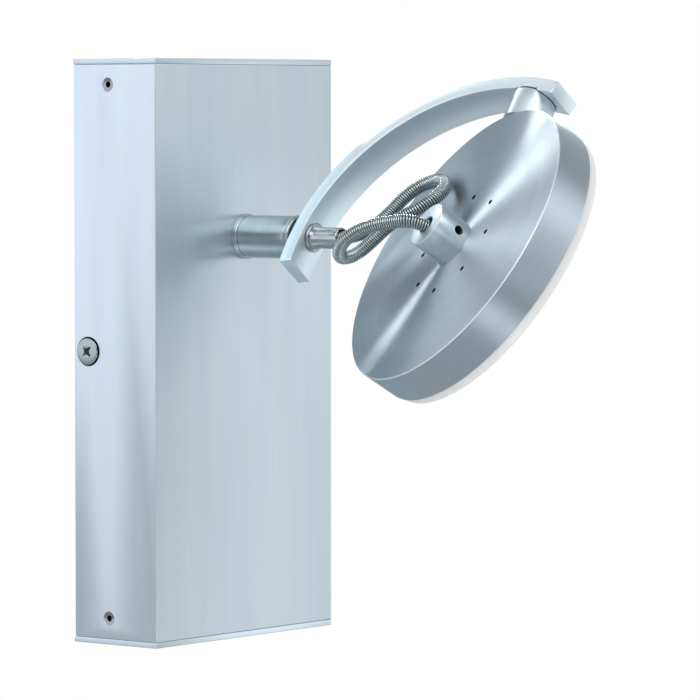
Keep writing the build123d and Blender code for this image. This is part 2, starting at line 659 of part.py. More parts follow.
def earth_lead():
    y0 = -BRACKET_THICKNESS - EARTH_SLEEVE_R
    z0, z1 = EARTH_Z + EARTH_TAG_R, TERMINAL_Z - TERMINAL_HEIGHT / 2
    points = [
        (0, y0, z0),
        (0, y0, z0 + 2 * EARTH_SLEEVE_LENGTH),
        (0, LEAD_Y, z1 - LEAD_INSIDE / 4),
        (0, LEAD_Y, z1 + LEAD_INSIDE),
    ]
    return lead(points, LEAD_R)


def mains_leads():
    """Line and neutral from the terminal block to the driver."""
    z0 = DRIVER_TOP_Z - DRIVER_WALL - LEAD_INSIDE
    z1 = TERMINAL_Z - TERMINAL_HEIGHT / 2 + LEAD_INSIDE
    wires = [Pos(x, LEAD_Y, 0) * rod(LEAD_R, z0, z1) for x in (-POLE_PITCH, POLE_PITCH)]
    return Compound(children=wires)


def output_lead():
    """From the driver up and round to the inner end of the hollow bolt."""
    points = [
        (OUTPUT_X, OUTPUT_Y, DRIVER_TOP_Z - DRIVER_WALL - LEAD_INSIDE),
        (OUTPUT_X, OUTPUT_Y, (DRIVER_TOP_Z + 2 * AXIS_Z) / 3),
        (0, OUTPUT_Y, AXIS_Z),
        (0, -BOLT_FROM, AXIS_Z),
    ]
    return lead(points, OUTPUT_LEAD_R)


# ---------------------------------------------------------------- pivot
def barrel_flange():
    part = ring(FLANGE_R, SPIGOT_R + SEAT, HOUSING_DEPTH, BARREL_FROM)
    outer = part.edges().filter_by(GeomType.CIRCLE).sort_by(SortBy.RADIUS)[-2:]
    return place(PIVOT, fillet(outer.sort_by(Axis.Z)[-1:], FLANGE_THICKNESS / 3))


def barrel():
    """Sleeve with a spigot at each end: one through the housing and one for the collar."""
    part = rod(BARREL_R, BARREL_FROM, BARREL_TO) + rod(SPIGOT_R, SPIGOT_FROM, COLLAR_TO)
    part -= rod(BOLT_R + RUNNING, SPIGOT_FROM - 1, COLLAR_TO + 1)
    return place(PIVOT, part)


def barrel_collar():
    part = ring(COLLAR_R, SPIGOT_R + SEAT, BARREL_TO, COLLAR_TO)
    outer = part.edges().filter_by(GeomType.CIRCLE).sort_by(SortBy.RADIUS)[-2:]
    return place(PIVOT, fillet(outer, COLLAR_THICKNESS / 4))


def barrel_nut():
    part = hexagon(BARREL_NUT_FLATS, INNER_FRONT - BARREL_NUT_THICKNESS, INNER_FRONT)
    return place(PIVOT, part - rod(SPIGOT_R + SEAT, 0, HOUSING_DEPTH))


def stop_pin():
    """Pin inside the front wall, straight below the axis, that the stop washer's tab meets."""
    pin = rod(STOP_PIN_R, PIVOT_NUT_TO, INNER_FRONT)
    return place(PIVOT, Pos(0, -STOP_PIN_AT, 0) * pin)


def saddle_washer():
    """Black washer between collar and bow, hollowed to the bow's curve."""
    near = COLLAR_TO + RUNNING
    part = ring(SADDLE_R, BOLT_R + SEAT, near, BOLT_SEAT)
    return place(ARM, part - bow_cylinder(BOW_OUTER_R + SEAT))


def bow_cylinder(r):
    """Solid cylinder across the bow, about the bow's centre, in the ARM frame."""
    return Pos(0, -BOW_DROP, BOW_CENTRE) * Rot(0, 90, 0) * Cylinder(r, 4 * BOW_WIDTH)


def bow_point(r, turn):
    """Point of the bow in its own plane: turn 0 faces the wall and 90 the post."""
    a = radians(turn)
    return (-BOW_DROP + r * sin(a), BOW_CENTRE - r * cos(a))


def arm_bow():
    """Flat bar bent to a quarter circle and a little more."""
    start, end = -BOW_LOWER_OVERRUN, 90 + BOW_UPPER_OVERRUN
    middle = (start + end) / 2
    inner = [bow_point(BOW_INNER_R, a) for a in (start, middle, end)]
    outer = [bow_point(BOW_OUTER_R, a) for a in (end, middle, start)]
    outline = Curve() + [
        ThreePointArc(*inner),
        Line(inner[-1], outer[0]),
        ThreePointArc(*outer),
        Line(outer[-1], inner[0]),
    ]
    bow = extrude(Plane.YZ * make_face(outline), BOW_WIDTH / 2, both=True)
    bow = chamfer(bow.edges().filter_by(GeomType.CIRCLE), EDGE * 0.75)
    bow -= rod(BOLT_R + SEAT, BOLT_SEAT - 2 * BOW_THICKNESS, BOW_CENTRE)
    bow -= rod(BOLT_FLANGE_R + EDGE, BOLT_SEAT, BOW_CENTRE)
    bow = place(ARM, bow)
    bow -= place(POST, rod(POST_R + EDGE, 0, TILT_SEAT))
    bow -= place(POST, rod(TILT_SCREW_R + RUNNING, 0, BOW_OUTER_R))
    bow -= place(POST, rod(TILT_POCKET_R, TILT_POCKET_FLOOR, BOW_OUTER_R + 1))
    return bow


def hollow_bolt():
    """Bright flanged bolt: its nose guides the conduit and its shank is the pivot."""
    part = rod(BOLT_R, BOLT_FROM, BOLT_SEAT)
    flange = rod(BOLT_FLANGE_R, BOLT_SEAT, NOSE_FROM)
    part += fillet(flange.edges().filter_by(GeomType.CIRCLE), BOLT_FLANGE_THICKNESS / 4)
    flare_to = NOSE_FROM + NOSE_LENGTH / 4
    part += taper(NOSE_ROOT_R, NOSE_R, NOSE_FROM, flare_to) + rod(NOSE_R, flare_to, NOSE_TO)
    part -= rod(BOLT_BORE_R, BOLT_FROM - 1, NOSE_TO) + rod(NOSE_BORE_R, CONDUIT_FROM, NOSE_TO + 1)
    return place(PIVOT, part)


def friction_washer():
    r, thickness = FRICTION_WASHER
    return place(PIVOT, ring(r, BOLT_R + SEAT, FRICTION_TO - thickness, FRICTION_TO))


def spring_washer():
    """Dished spring washer: its rim bears on one neighbour and its bore on the other."""
    r, height = SPRING_WASHER
    sheet = height / 2
    low = SPRING_TO - height
    bore = BOLT_R + SEAT
    outline = [(bore, low), (r, low + height - sheet), (r, SPRING_TO), (bore, low + sheet)]
    return place(PIVOT, turned(outline))


def stop_washer():
    r, thickness = STOP_WASHER
    low = STOP_TO - thickness
    part = rod(r, low, STOP_TO)
    half = STOP_TAB_WIDTH / 2
    part += block(-half, half, 0, STOP_TAB_REACH, low, STOP_TO)
    return place(ARM, part - rod(BOLT_R + SEAT, low - 1, STOP_TO + 1))


def shank_nut(flats, to, thickness):
    part = hexagon(flats, to - thickness, to) - rod(BOLT_R + SEAT, to - thickness - 1, to + 1)
    return place(ARM, part)


def pivot_nut():
    return shank_nut(PIVOT_NUT_FLATS, PIVOT_NUT_TO, PIVOT_NUT_THICKNESS)


def lock_nut():
    return shank_nut(PIVOT_NUT_FLATS, LOCK_NUT_TO, LOCK_NUT_THICKNESS)


def pivot_flex():
    """Round flexible lead through the hollow bolt, as far as the conduit's end."""
    return place(PIVOT, rod(FLEX_R, BOLT_FROM + RUNNING, CONDUIT_FROM))


# ---------------------------------------------------------------- tilt pivot
def tilt_washer():
    part = ring(TILT_WASHER_R, TILT_SCREW_R + SEAT, POST_TOP + RUNNING, TILT_SEAT)
    return place(POST, part)


def post():
    """Round post between bow and rim, its foot hollowed to the rim."""
    part = rod(POST_R, HEAD_R - RIM_WALL, POST_TOP)
    part -= Rot(0, 90, 0) * Cylinder(HEAD_R, 4 * POST_R)
    top_hole = TILT_HEAD_Z - TILT_SCREW_LENGTH - TAP_SPARE
    part -= rod(TILT_SCREW_R + SEAT, top_hole, POST_TOP + 1)
    part -= rod(M4_R + SEAT, 0, HEAD_R + POST_SCREW_DEPTH + TAP_SPARE)
    return place(POST, part)


def tilt_spring():
    part = ring(TILT_SCREW_HEAD_R, TILT_SCREW_R + SEAT, TILT_HEAD_Z - TILT_SPRING, TILT_HEAD_Z)
    return place(POST, part)


def tilt_screw():
    """Screw through the bow into the post, with a hexagon socket in its low head."""
    head = rod(TILT_SCREW_HEAD_R, TILT_HEAD_Z, TILT_HEAD_Z + TILT_SCREW_HEAD)
    head = fillet(head.faces().sort_by(Axis.Z)[-1].edges(), TILT_SCREW_HEAD / 3)
    part = head + rod(TILT_SCREW_R, TILT_HEAD_Z - TILT_SCREW_LENGTH, TILT_HEAD_Z)
    part -= hexagon(TILT_SCREW_R * 1.2, TILT_HEAD_Z + TILT_SCREW_HEAD * 0.2, BOW_OUTER_R + 2)
    return place(POST, part)


def post_screw():
    """Screw from inside the rim into the post's foot."""
    top = POST_SCREW_HEAD_Z
    part = rod(M4_HEAD_R, top - M4_HEAD, top)
    part = fillet(part.faces().sort_by(Axis.Z)[0].edges(), M4_HEAD * 0.4)
    part += rod(M4_R, top, HEAD_R + POST_SCREW_DEPTH)
    part -= hexagon(M4_R * 1.2, 0, top - M4_HEAD / 2)
    return place(POST, part)


# ---------------------------------------------------------------- lamp head
def round_pattern(shape, r, count, start=0.0):
    """Copies of a shape on a circle about local z."""
    step = 360 / count
    return [Rot(0, 0, start + i * step) * Pos(r, 0, 0) * shape for i in range(count)]


def head_shell():
    """Turned dish: a flat back with vents and hub hole, and the rim."""
    part = rod(HEAD_R, -BACK_Z, BACK_Z)
    part = chamfer(part.edges().filter_by(GeomType.CIRCLE), EDGE)
    part -= rod(RIM_INNER_R, -BACK_Z - 1, BACK_INNER_Z)
    part -= rod(HUB_SPIGOT_R + SEAT, 0, BACK_Z + 1)
    part -= round_pattern(rod(VENT_R, 0, BACK_Z + 1), VENT_CIRCLE_R, VENT_COUNT)
    blind = rod(M3_R + SEAT, 0, BACK_INNER_Z + BOARD_SCREW_DEPTH + SEAT)
    part -= round_pattern(blind, BOARD_SCREW_CIRCLE_R, BOARD_SCREW_COUNT, 45)
    part -= Rot(0, 90, 0) * rod(M4_R + SEAT, 0, HEAD_R + 1)
    return place(HEAD, part)


def hub():
    """Round hub: the conduit enters its end and its spigot goes through the back."""
    part = rod(HUB_R, BACK_Z, HUB_TOP_Z)
    part = chamfer(part.faces().sort_by(Axis.Z)[-1].edges(), EDGE * 0.75)
    part += rod(HUB_SPIGOT_R, HUB_SPIGOT_Z, BACK_Z)
    part -= rod(HUB_BORE_R, HUB_FLOOR_Z, HUB_TOP_Z + 1)
    part -= rod(HUB_WIRE_R, HUB_SPIGOT_Z - 1, HUB_TOP_Z)
    side = Rot(0, 0, SET_SCREW_TURN) * Rot(0, 90, 0) * rod(SET_SCREW_R + SEAT, 0, HUB_R + 1)
    part -= Pos(0, 0, BACK_Z + SET_SCREW_HEIGHT) * side
    return place(HEAD, part)


def hub_set_screw():
    """Grub screw that grips the conduit's end in the hub."""
    screw = rod(SET_SCREW_R, CONDUIT_R + RUNNING, HUB_R - SET_SCREW_SUNK)
    screw -= hexagon(SET_SCREW_R, HUB_R - SET_SCREW_SUNK - SET_SCREW_R, HUB_R)
    screw = Rot(0, 0, SET_SCREW_TURN) * Rot(0, 90, 0) * screw
    return place(HEAD, Pos(0, 0, BACK_Z + SET_SCREW_HEIGHT) * screw)


def hub_nut():
    low, high = BACK_INNER_Z - HUB_NUT_THICKNESS, BACK_INNER_Z
    part = hexagon(HUB_NUT_FLATS, low, high) - rod(HUB_SPIGOT_R + SEAT, low - 1, high + 1)
    return place(HEAD, part)


def thermal_pad():
    part = ring(LED_BOARD_R, LED_BOARD_INNER_R, PAD_Z, BACK_INNER_Z)
    holes = rod(M3_R + SEAT, PAD_Z - 1, BACK_INNER_Z + 1)
    return place(HEAD, part - round_pattern(holes, BOARD_SCREW_CIRCLE_R, BOARD_SCREW_COUNT, 45))


def led_board():
    part = ring(LED_BOARD_R, LED_BOARD_INNER_R, LED_BOARD_Z, PAD_Z)
    holes = rod(M3_R + SEAT, LED_BOARD_Z - 1, PAD_Z + 1)
    return place(HEAD, part - round_pattern(holes, BOARD_SCREW_CIRCLE_R, BOARD_SCREW_COUNT, 45))


def leds():
    """LED packages in two rings on the board's front."""
    chip = Pos(0, 0, LED_BOARD_Z - LED_THICKNESS / 2) * Box(LED_SIZE, LED_SIZE, LED_THICKNESS)
    chips = round_pattern(chip, LED_INNER_RING_R, LED_INNER_COUNT)
    chips += round_pattern(chip, LED_OUTER_RING_R, LED_OUTER_COUNT)
    return Compound(children=[place(HEAD, c) for c in chips])


def board_screws():
    tip = BACK_INNER_Z + BOARD_SCREW_DEPTH
    screw = rod(M3_HEAD_R, LED_BOARD_Z - M3_HEAD, LED_BOARD_Z) + rod(M3_R, LED_BOARD_Z, tip)
    screw -= hexagon(M3_R * 1.2, LED_BOARD_Z - M3_HEAD - 1, LED_BOARD_Z - M3_HEAD / 2)
    screws = round_pattern(screw, BOARD_SCREW_CIRCLE_R, BOARD_SCREW_COUNT, 45)
    return Compound(children=[place(HEAD, s) for s in screws])


def diffuser():
    """Opal cover: a flange in front of the rim and a skirt that plugs into it."""
    front = -BACK_Z - DIFFUSER_PROUD
    skirt_r = RIM_INNER_R - 2 * SEAT
    inner_r = skirt_r - DIFFUSER_WALL
    rest = -BACK_Z - SEAT
    part = turned(
        [
            (0, front),
            (DIFFUSER_R, front),
            (DIFFUSER_R, rest),
            (skirt_r, rest),
            (skirt_r, -BACK_Z + DIFFUSER_SKIRT),
            (inner_r, -BACK_Z + DIFFUSER_SKIRT),
            (inner_r, front + DIFFUSER_WALL),
            (0, front + DIFFUSER_WALL),
        ]
    )
    rim = part.edges().filter_by(GeomType.CIRCLE).group_by(Axis.Z)[0].sort_by(SortBy.RADIUS)[-1:]
    return place(HEAD, fillet(rim, DIFFUSER_WALL / 2))


def head_leads():
    """Two wires from the conduit's end to the LED board."""
    wires = []
    under = HUB_SPIGOT_Z - HEAD_LEAD_R - RUNNING
    bend = 1.5 * HEAD_LEAD_R
    for x in (-HEAD_LEAD_SPREAD / 2, HEAD_LEAD_SPREAD / 2):
        points = [
            (x, 0, HUB_FLOOR_Z - RUNNING),
            (x, 0, under),
            (x, HEAD_LEAD_REACH, under),
            (x, HEAD_LEAD_REACH, LED_BOARD_Z - RUNNING),
        ]
        wires.append(place(HEAD, lead(points, HEAD_LEAD_R, [bend / 2, bend])))
    return Compound(children=wires)


# ---------------------------------------------------------------- conduit
def conduit_route():
    start = Vector(0, -CONDUIT_FROM, AXIS_Z)
    leaving = Vector(0, -NOSE_TO - CONDUIT_STRAIGHT, AXIS_Z)
    over_hub = HEAD_CENTRE + HEAD_BACK * (HUB_TOP_Z + CONDUIT_LIFT)
    end = HEAD_CENTRE + HEAD_BACK * HUB_FLOOR_Z
    return [start, leaving, *[Vector(*p) for p in CONDUIT_POINTS], over_hub, end]


def conduit():
    """Spring-wound conduit as one plain tube, from the nose's shoulder to the hub's."""
    return lead(conduit_route(), CONDUIT_R)


# ---------------------------------------------------------------- write the parts
PARTS = [
    housing_shell, top_cap, bottom_cap, cap_screws, side_screws,
    wall_bracket, ear_nuts, entry_grommet, bracket_screws,
    driver_case, driver_lid, driver_board, driver_transformer, driver_capacitors,
    terminal_block, terminal_screws, earth_screw, earth_tag, earth_lead,
    mains_leads, output_lead,
    barrel_flange, barrel, barrel_collar, barrel_nut, stop_pin,
    arm_bow, saddle_washer, hollow_bolt, friction_washer, spring_washer,
    stop_washer, pivot_nut, lock_nut, pivot_flex, tilt_washer, conduit,
    post, tilt_screw, tilt_spring, post_screw,
    head_shell, hub, hub_set_screw, hub_nut, thermal_pad, led_board, leds,
    board_screws, diffuser, head_leads,
]

os.makedirs("parts", exist_ok=True)
for make in PARTS:
    export_step(make(), f"parts/{make.__name__}.step")

route = conduit_route()
print("conduit radii", [round(r, 1) for r in route_radii(route)])
length = FilletPolyline(*route, radius=route_radii(route)).length
section = radians(180) * CONDUIT_R**2
print("conduit length", round(length, 1), "volume over section x length",
      round(conduit().volume / (section * length), 4))
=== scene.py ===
"""Looks of the pivoting spotlight wall light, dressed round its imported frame.

Each piece is modelled by hand in millimetres, in the local frame of what carries it. It
is then turned to its place and brought to metres.
"""

import json
from math import atan2, cos, hypot, pi, radians, sin, sqrt, tau

import bpy
from mathutils import Matrix, Vector


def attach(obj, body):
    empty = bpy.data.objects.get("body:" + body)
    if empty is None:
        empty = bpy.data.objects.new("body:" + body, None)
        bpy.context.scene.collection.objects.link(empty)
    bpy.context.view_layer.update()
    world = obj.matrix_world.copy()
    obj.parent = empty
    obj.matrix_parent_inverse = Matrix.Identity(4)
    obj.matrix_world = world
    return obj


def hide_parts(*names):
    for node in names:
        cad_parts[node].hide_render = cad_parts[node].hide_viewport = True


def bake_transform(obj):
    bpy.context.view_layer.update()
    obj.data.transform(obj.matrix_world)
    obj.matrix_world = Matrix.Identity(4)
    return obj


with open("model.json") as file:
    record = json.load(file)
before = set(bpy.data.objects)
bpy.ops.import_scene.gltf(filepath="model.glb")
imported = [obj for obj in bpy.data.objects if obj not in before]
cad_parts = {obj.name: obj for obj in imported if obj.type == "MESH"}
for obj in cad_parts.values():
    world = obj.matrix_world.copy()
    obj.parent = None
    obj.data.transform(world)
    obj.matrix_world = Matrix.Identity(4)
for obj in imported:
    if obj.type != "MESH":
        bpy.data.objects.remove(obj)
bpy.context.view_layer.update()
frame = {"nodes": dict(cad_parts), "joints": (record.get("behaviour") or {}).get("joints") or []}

MM = 0.001

# -------------------------------- sizes, in millimetres
RUNNING = 0.05  # between faces that turn on each other
SEAT = 0.05  # between parts that are pushed together by hand
PAST = 1.0  # how far a cutter runs past a face
EDGE = 0.4  # broken outside edges

# Housing
HOUSING_WIDTH = 120.0
HOUSING_DEPTH = 46.0
HOUSING_HEIGHT = 250.0
HOUSING_WALL = 1.8
REAR_STEP = 0.5  # the cover stops this far short of the wall
CAP_THICKNESS = 2.5
CAP_EDGE = 0.32  # broken edges of the end caps
TAB_THICKNESS = 6.0
TAB_DEPTH = 24.0
TAB_HEIGHT = 18.0
HALF_W = HOUSING_WIDTH / 2
HALF_H = HOUSING_HEIGHT / 2
COVER_TOP = HALF_H - CAP_THICKNESS

# Screws in its sides
CAP_SCREW_FROM_WALL = 19.5
CAP_SCREW_FROM_END = 11.2
CAP_SCREW_R = 1.5
CAP_SCREW_HEAD_R = 3.0
CAP_SCREW_LENGTH = 7.5
CAP_SOCKET = 2.5  # across flats
CAP_SOCKET_DEPTH = 1.9
CAP_SOCKET_TURN = 20.0  # degrees
SIDE_SCREW_FROM_WALL = 8.3
SIDE_SCREW_R = 3.0
SIDE_SCREW_HEAD_R = 6.3
SIDE_SCREW_LENGTH = 12.0
CROSS_REACH = 3.1  # half the length of a wing of its cross recess
CROSS_HALF_WIDTH = 0.6  # of a wing
CROSS_DEPTH = 1.9
CROSS_NARROWING = (0.42, 0.6, 1.0)  # of a wing, from its mouth to its floor

# Pivot barrel: distances from the wall along its axis
SPIGOT_R = 6.5
SPIGOT_FROM = 39.6  # its inner end, past the ring nut
FLANGE_R = 9.7
FLANGE_TO = HOUSING_DEPTH + 2.5
BARREL_R = 9.2
BARREL_TO = FLANGE_TO + 25.6
COLLAR_R = 9.5
COLLAR_TO = BARREL_TO + 2.5
SADDLE_THICKNESS = 0.85  # black washer between the collar and the bow

# Bow arm
HEAD_R = 66.0
POST_LENGTH = 13.5  # from the head's rim to the inside of the bow
BOW_THICKNESS = 6.0
BOW_WIDTH = 16.5
BOW_EDGE = 0.3
BOW_STEPS = 112  # faces along the bend
BOW_DROP = 6.6  # from the pivot axis to the bow's centre, away from the post
BOW_LOWER_OVERRUN = 7.6  # degrees of bow before its quarter circle
BOW_UPPER_OVERRUN = 14.6  # degrees of bow after it
MILLED = 0.2  # least depth of the flats milled inside the bow
BOW_INNER_R = HEAD_R + POST_LENGTH
BOW_OUTER_R = BOW_INNER_R + BOW_THICKNESS
BOW_CENTRE = COLLAR_TO + RUNNING + SADDLE_THICKNESS + BOW_OUTER_R

# Hollow bolt
BOLT_R = 4.0
BOLT_BORE_R = 2.4
BOLT_FROM = 25.95  # its inner end, past the lock nut
BOLT_FLANGE_R = 6.0
BOLT_FLANGE_THICKNESS = 1.8
NOSE_ROOT_R = 5.1
NOSE_R = 4.6
NOSE_BORE_R = 3.6
NOSE_LENGTH = 13.9
NOSE_BORE_DEPTH = 6.5
FLARE_LENGTH = 3.5  # over which the root narrows to the nose
BOLT_SEAT = BOW_CENTRE - BOW_INNER_R - MILLED
NOSE_FROM = BOLT_SEAT + BOLT_FLANGE_THICKNESS
NOSE_TO = NOSE_FROM + NOSE_LENGTH
CONDUIT_FROM = NOSE_TO - NOSE_BORE_DEPTH

# Tilt pivot and post: heights from the head's centre
TILT_FORWARD = 6.1  # the tilt axis lies this far in front of the bow's centre
POST_R = 9.6
TILT_WASHER_R = 9.3
TILT_WASHER_THICKNESS = 0.8
TILT_SCREW_R = 2.5
TILT_SCREW_HEAD_R = 4.6
TILT_SCREW_HEAD = 1.8
TILT_SCREW_LENGTH = 10.0
TILT_SOCKET = 3.0  # across flats
TILT_SOCKET_FLOOR = 0.36  # above the underside of the head
TILT_SPRING = 0.5  # thickness of the spring washer under the head
TILT_POCKET_R = 5.2
TILT_POCKET_DEPTH = 2.5
TILT_SEAT = BOW_INNER_R + MILLED
POST_TOP = TILT_SEAT - TILT_WASHER_THICKNESS - RUNNING
TILT_POCKET_FLOOR = sqrt(BOW_OUTER_R**2 - TILT_FORWARD**2) - TILT_POCKET_DEPTH
TILT_HEAD_Z = TILT_POCKET_FLOOR + TILT_SPRING + RUNNING

# Lamp head: heights from the middle of its rim
HEAD_DEPTH = 17.0
HEAD_TURN = 67.0  # degrees the head is turned from straight ahead, at rest
RIM_WALL = 2.5
BACK_THICKNESS = 3.0
DISH_EDGE = 0.35
VENT_R = 1.15
VENT_CIRCLE_R = 23.5
VENT_COUNT = 8
VENT_BAND = (20.0, 27.0)  # radii of the ring of faces that the vents go through
HUB_R = 10.0
HUB_LENGTH = 15.0
HUB_SPIGOT_R = 5.0
HUB_SPIGOT_LENGTH = 7.0
HUB_BORE_R = 3.6
HUB_BORE_DEPTH = 12.0
HUB_WIRE_R = 2.2
SET_SCREW_R = 2.0
SET_SCREW_HEIGHT = 5.0  # above the back
SET_SCREW_TURN = -84.0  # degrees round the hub
DIFFUSER_INSET = 1.0
DIFFUSER_PROUD = 4.5
DIFFUSER_WALL = 2.0
DIFFUSER_SKIRT = 4.5
DIFFUSER_ROUND = 1.0  # front edge
BACK_Z = HEAD_DEPTH / 2
HUB_TOP_Z = BACK_Z + HUB_LENGTH
HUB_FLOOR_Z = HUB_TOP_Z - HUB_BORE_DEPTH

# Spring-wound conduit
CONDUIT_R = 2.9
WIRE_R = 0.46
WIRE_PITCH = 1.02  # from turn to turn, about as coarse as the photo shows
WIRE_STEPS = 22  # sections of wire to a turn
WIRE_SIDES = 8
LINER_R = 2.2
LINER_STEP = 1.0  # from one ring of its points to the next
LINER_SIDES = 16

# -------------------------------- frames
# In ARM local x is across the bow, y along the post and z away from the wall. In HEAD
# local z points out of the back of the head and x up the post. In POST z is up the post.
JOINTS = {joint["name"]: joint for joint in frame["joints"]}
AXIS_Z = JOINTS["arm_turn"]["pos_m"][2] / MM
POST_DIR = Vector(JOINTS["head_tilt"]["axis"]).normalized()
HEAD_CENTRE = Vector(JOINTS["head_tilt"]["pos_m"]) / MM
OUT = Vector((0, -1, 0))
RIGHT = Vector((1, 0, 0))
ACROSS = POST_DIR.cross(OUT)
HEAD_BACK = -OUT * cos(radians(HEAD_TURN)) - ACROSS * sin(radians(HEAD_TURN))


def frame_at(origin, x, z):
    """Matrix of a local frame in the row frame, in millimetres."""
    return Matrix.Translation(origin) @ Matrix((x, z.cross(x), z)).transposed().to_4x4()


ROW = Matrix.Identity(4)
PIVOT = frame_at(Vector((0, 0, AXIS_Z)), RIGHT, OUT)
ARM = frame_at(Vector((0, 0, AXIS_Z)), ACROSS, OUT)
HEAD = frame_at(HEAD_CENTRE, POST_DIR, HEAD_BACK)
POST = frame_at(HEAD_CENTRE, HEAD_BACK, POST_DIR)
MIRROR_X = Matrix.Scale(-1, 4, RIGHT)
MIRROR_Z = Matrix.Scale(-1, 4, Vector((0, 0, 1)))


def on_side(from_wall, z, side):
    """Frame on the right (1) or left (-1) side face of the housing, local z pointing out."""
    right = frame_at(Vector((HALF_W, -from_wall, z)), Vector((0, 1, 0)), RIGHT)
    return right if side > 0 else MIRROR_X @ right


CAP_SCREW_Z = HALF_H - CAP_SCREW_FROM_END
CAP_SCREW_PLACES = [
    on_side(CAP_SCREW_FROM_WALL, z, side) for side in (1, -1) for z in (CAP_SCREW_Z, -CAP_SCREW_Z)
]
SIDE_SCREW_PLACES = [on_side(SIDE_SCREW_FROM_WALL, 0, side) for side in (1, -1)]
VENT_PLACES = [
    Matrix.Rotation(tau * i / VENT_COUNT, 4, "Z") @ Matrix.Translation((VENT_CIRCLE_R, 0, 0))
    for i in range(VENT_COUNT)
]

# -------------------------------- materials
ROUND = 30.0  # millimetres of brush map to a radian, on turned pieces
USED_NOISE = {"From_Min": 0.3, "From_Max": 0.7}  # the range that a noise really covers
# Bands and tints are wider and longer than the marks: how many come to a mark, across
# it and along it
BANDS = (0.07, 1 / 4)
TINTS = (0.05, 1 / 6)
TINT_SHIFT = (40.0, 7.0, 3.0)  # keeps the tints apart from the bands


def linear(code):
    """Linear colour of an sRGB hex value."""
    parts = [int(code[i : i + 2], 16) / 255 for i in (0, 2, 4)]
    return [c / 12.92 if c <= 0.04045 else ((c + 0.055) / 1.055) ** 2.4 for c in parts] + [1.0]


def fill(tree, node, **inputs):
    """Sets or links a node's inputs, each by its name or, as i0 or i1, by its number."""
    for name, value in inputs.items():
        number = name[1:]
        socket = node.inputs[int(number) if number.isdigit() else name.replace("_", " ")]
        if isinstance(value, bpy.types.NodeSocket):
            tree.links.new(value, socket)
        else:
            socket.default_value = value


def add(tree, kind, settings=None, **inputs):
    """Adds a node with its settings and inputs, and gives its outputs."""
    made = tree.nodes.new("ShaderNode" + kind)
    for name, value in (settings or {}).items():
        setattr(made, name, value)
    fill(tree, made, **inputs)
    return made.outputs


def new_material(name):
    material = bpy.data.materials.new(name)
    material.use_nodes = True
    return material, material.node_tree, material.node_tree.nodes["Principled BSDF"]


def brushed(name, colours, spacing, reach, rough, anisotropy, depth, turned_rings=False):
    """Brushed metal on the piece's brush map: u runs across the marks and v along them.

    The marks are spacing apart and reach long, in millimetres. They run between the
    three colours, and change the roughness and a shallow bump of the given depth. With
    turned_rings v goes round a circle, so that each ring of a turned piece closes.
    """
    material, tree, shader = new_material(name)
    where = add(tree, "UVMap", {"uv_map": "brush"})["UV"]
    across, along = 1 / spacing, 1 / reach
    if turned_rings:
        parts = add(tree, "SeparateXYZ", Vector=where)
        turn = add(tree, "Math", {"operation": "DIVIDE"}, i0=parts["Y"], i1=ROUND)["Value"]
        round_x = add(tree, "Math", {"operation": "COSINE"}, i0=turn)["Value"]
        round_y = add(tree, "Math", {"operation": "SINE"}, i0=turn)["Value"]
        where = add(tree, "CombineXYZ", X=parts["X"], Y=round_x, Z=round_y)["Vector"]
        along = ROUND / reach
    marks = add(tree, "Mapping", Vector=where, Scale=(across, along, along))["Vector"]
    fine = add(tree, "TexNoise", Vector=marks, Scale=1.0, Detail=3.0, Roughness=0.6)["Fac"]
    wide, long = across * BANDS[0], along * BANDS[1]
    bands = add(tree, "Mapping", Vector=where, Scale=(wide, long, long))["Vector"]
    slow = add(tree, "TexNoise", Vector=bands, Scale=1.0, Detail=2.0)["Fac"]
    wide, long = across * TINTS[0], along * TINTS[1]
    tints = add(tree, "Mapping", Vector=where, Location=TINT_SHIFT, Scale=(wide, long, long))["Vector"]
    tint = add(tree, "TexNoise", Vector=tints, Scale=1.0, Detail=1.0)["Fac"]
    both = add(tree, "Mix", {"data_type": "FLOAT"}, i0=0.4, i2=fine, i3=slow)[0]
    streaks = add(tree, "MapRange", Value=both, **USED_NOISE)["Result"]
    patches = add(tree, "MapRange", Value=tint, **USED_NOISE, To_Max=0.6)["Result"]
    roughness = add(
        tree, "MapRange", Value=both, **USED_NOISE, To_Min=rough * 0.88, To_Max=rough * 1.12
    )["Result"]
    base, streak, cool = (linear(code) for code in colours)
    streaked = add(tree, "Mix", {"data_type": "RGBA"}, i0=streaks, i6=base, i7=streak)[2]
    tinted = add(tree, "Mix", {"data_type": "RGBA"}, i0=patches, i6=streaked, i7=cool)[2]
    bump = add(tree, "Bump", Height=fine, Strength=0.35, Distance=depth * MM)["Normal"]
    tangent = add(tree, "Tangent", {"direction_type": "UV_MAP", "uv_map": "brush"})["Tangent"]
    fill(
        tree, shader, Base_Color=tinted, Roughness=roughness, Normal=bump, Tangent=tangent,
        Metallic=1.0, Anisotropic=anisotropy,
    )
    return material


def plain_metal(name, light, dark, rough, grain=0.4):
    """Metal with a fine even grain, in millimetres, for small turned and plated parts."""
    material, tree, shader = new_material(name)
    where = add(tree, "TexCoord")["Object"]
    noise = add(tree, "TexNoise", Vector=where, Scale=1 / (grain * MM), Detail=3.0)["Fac"]
    share = add(tree, "MapRange", Value=noise, **USED_NOISE)["Result"]
    colours = {"i6": linear(dark), "i7": linear(light)}
    mixed = add(tree, "Mix", {"data_type": "RGBA"}, i0=share, **colours)[2]
    roughness = add(
        tree, "MapRange", Value=noise, **USED_NOISE, To_Min=rough * 0.8, To_Max=rough * 1.2
    )["Result"]
    fill(tree, shader, Base_Color=mixed, Roughness=roughness, Metallic=1.0)
    return material


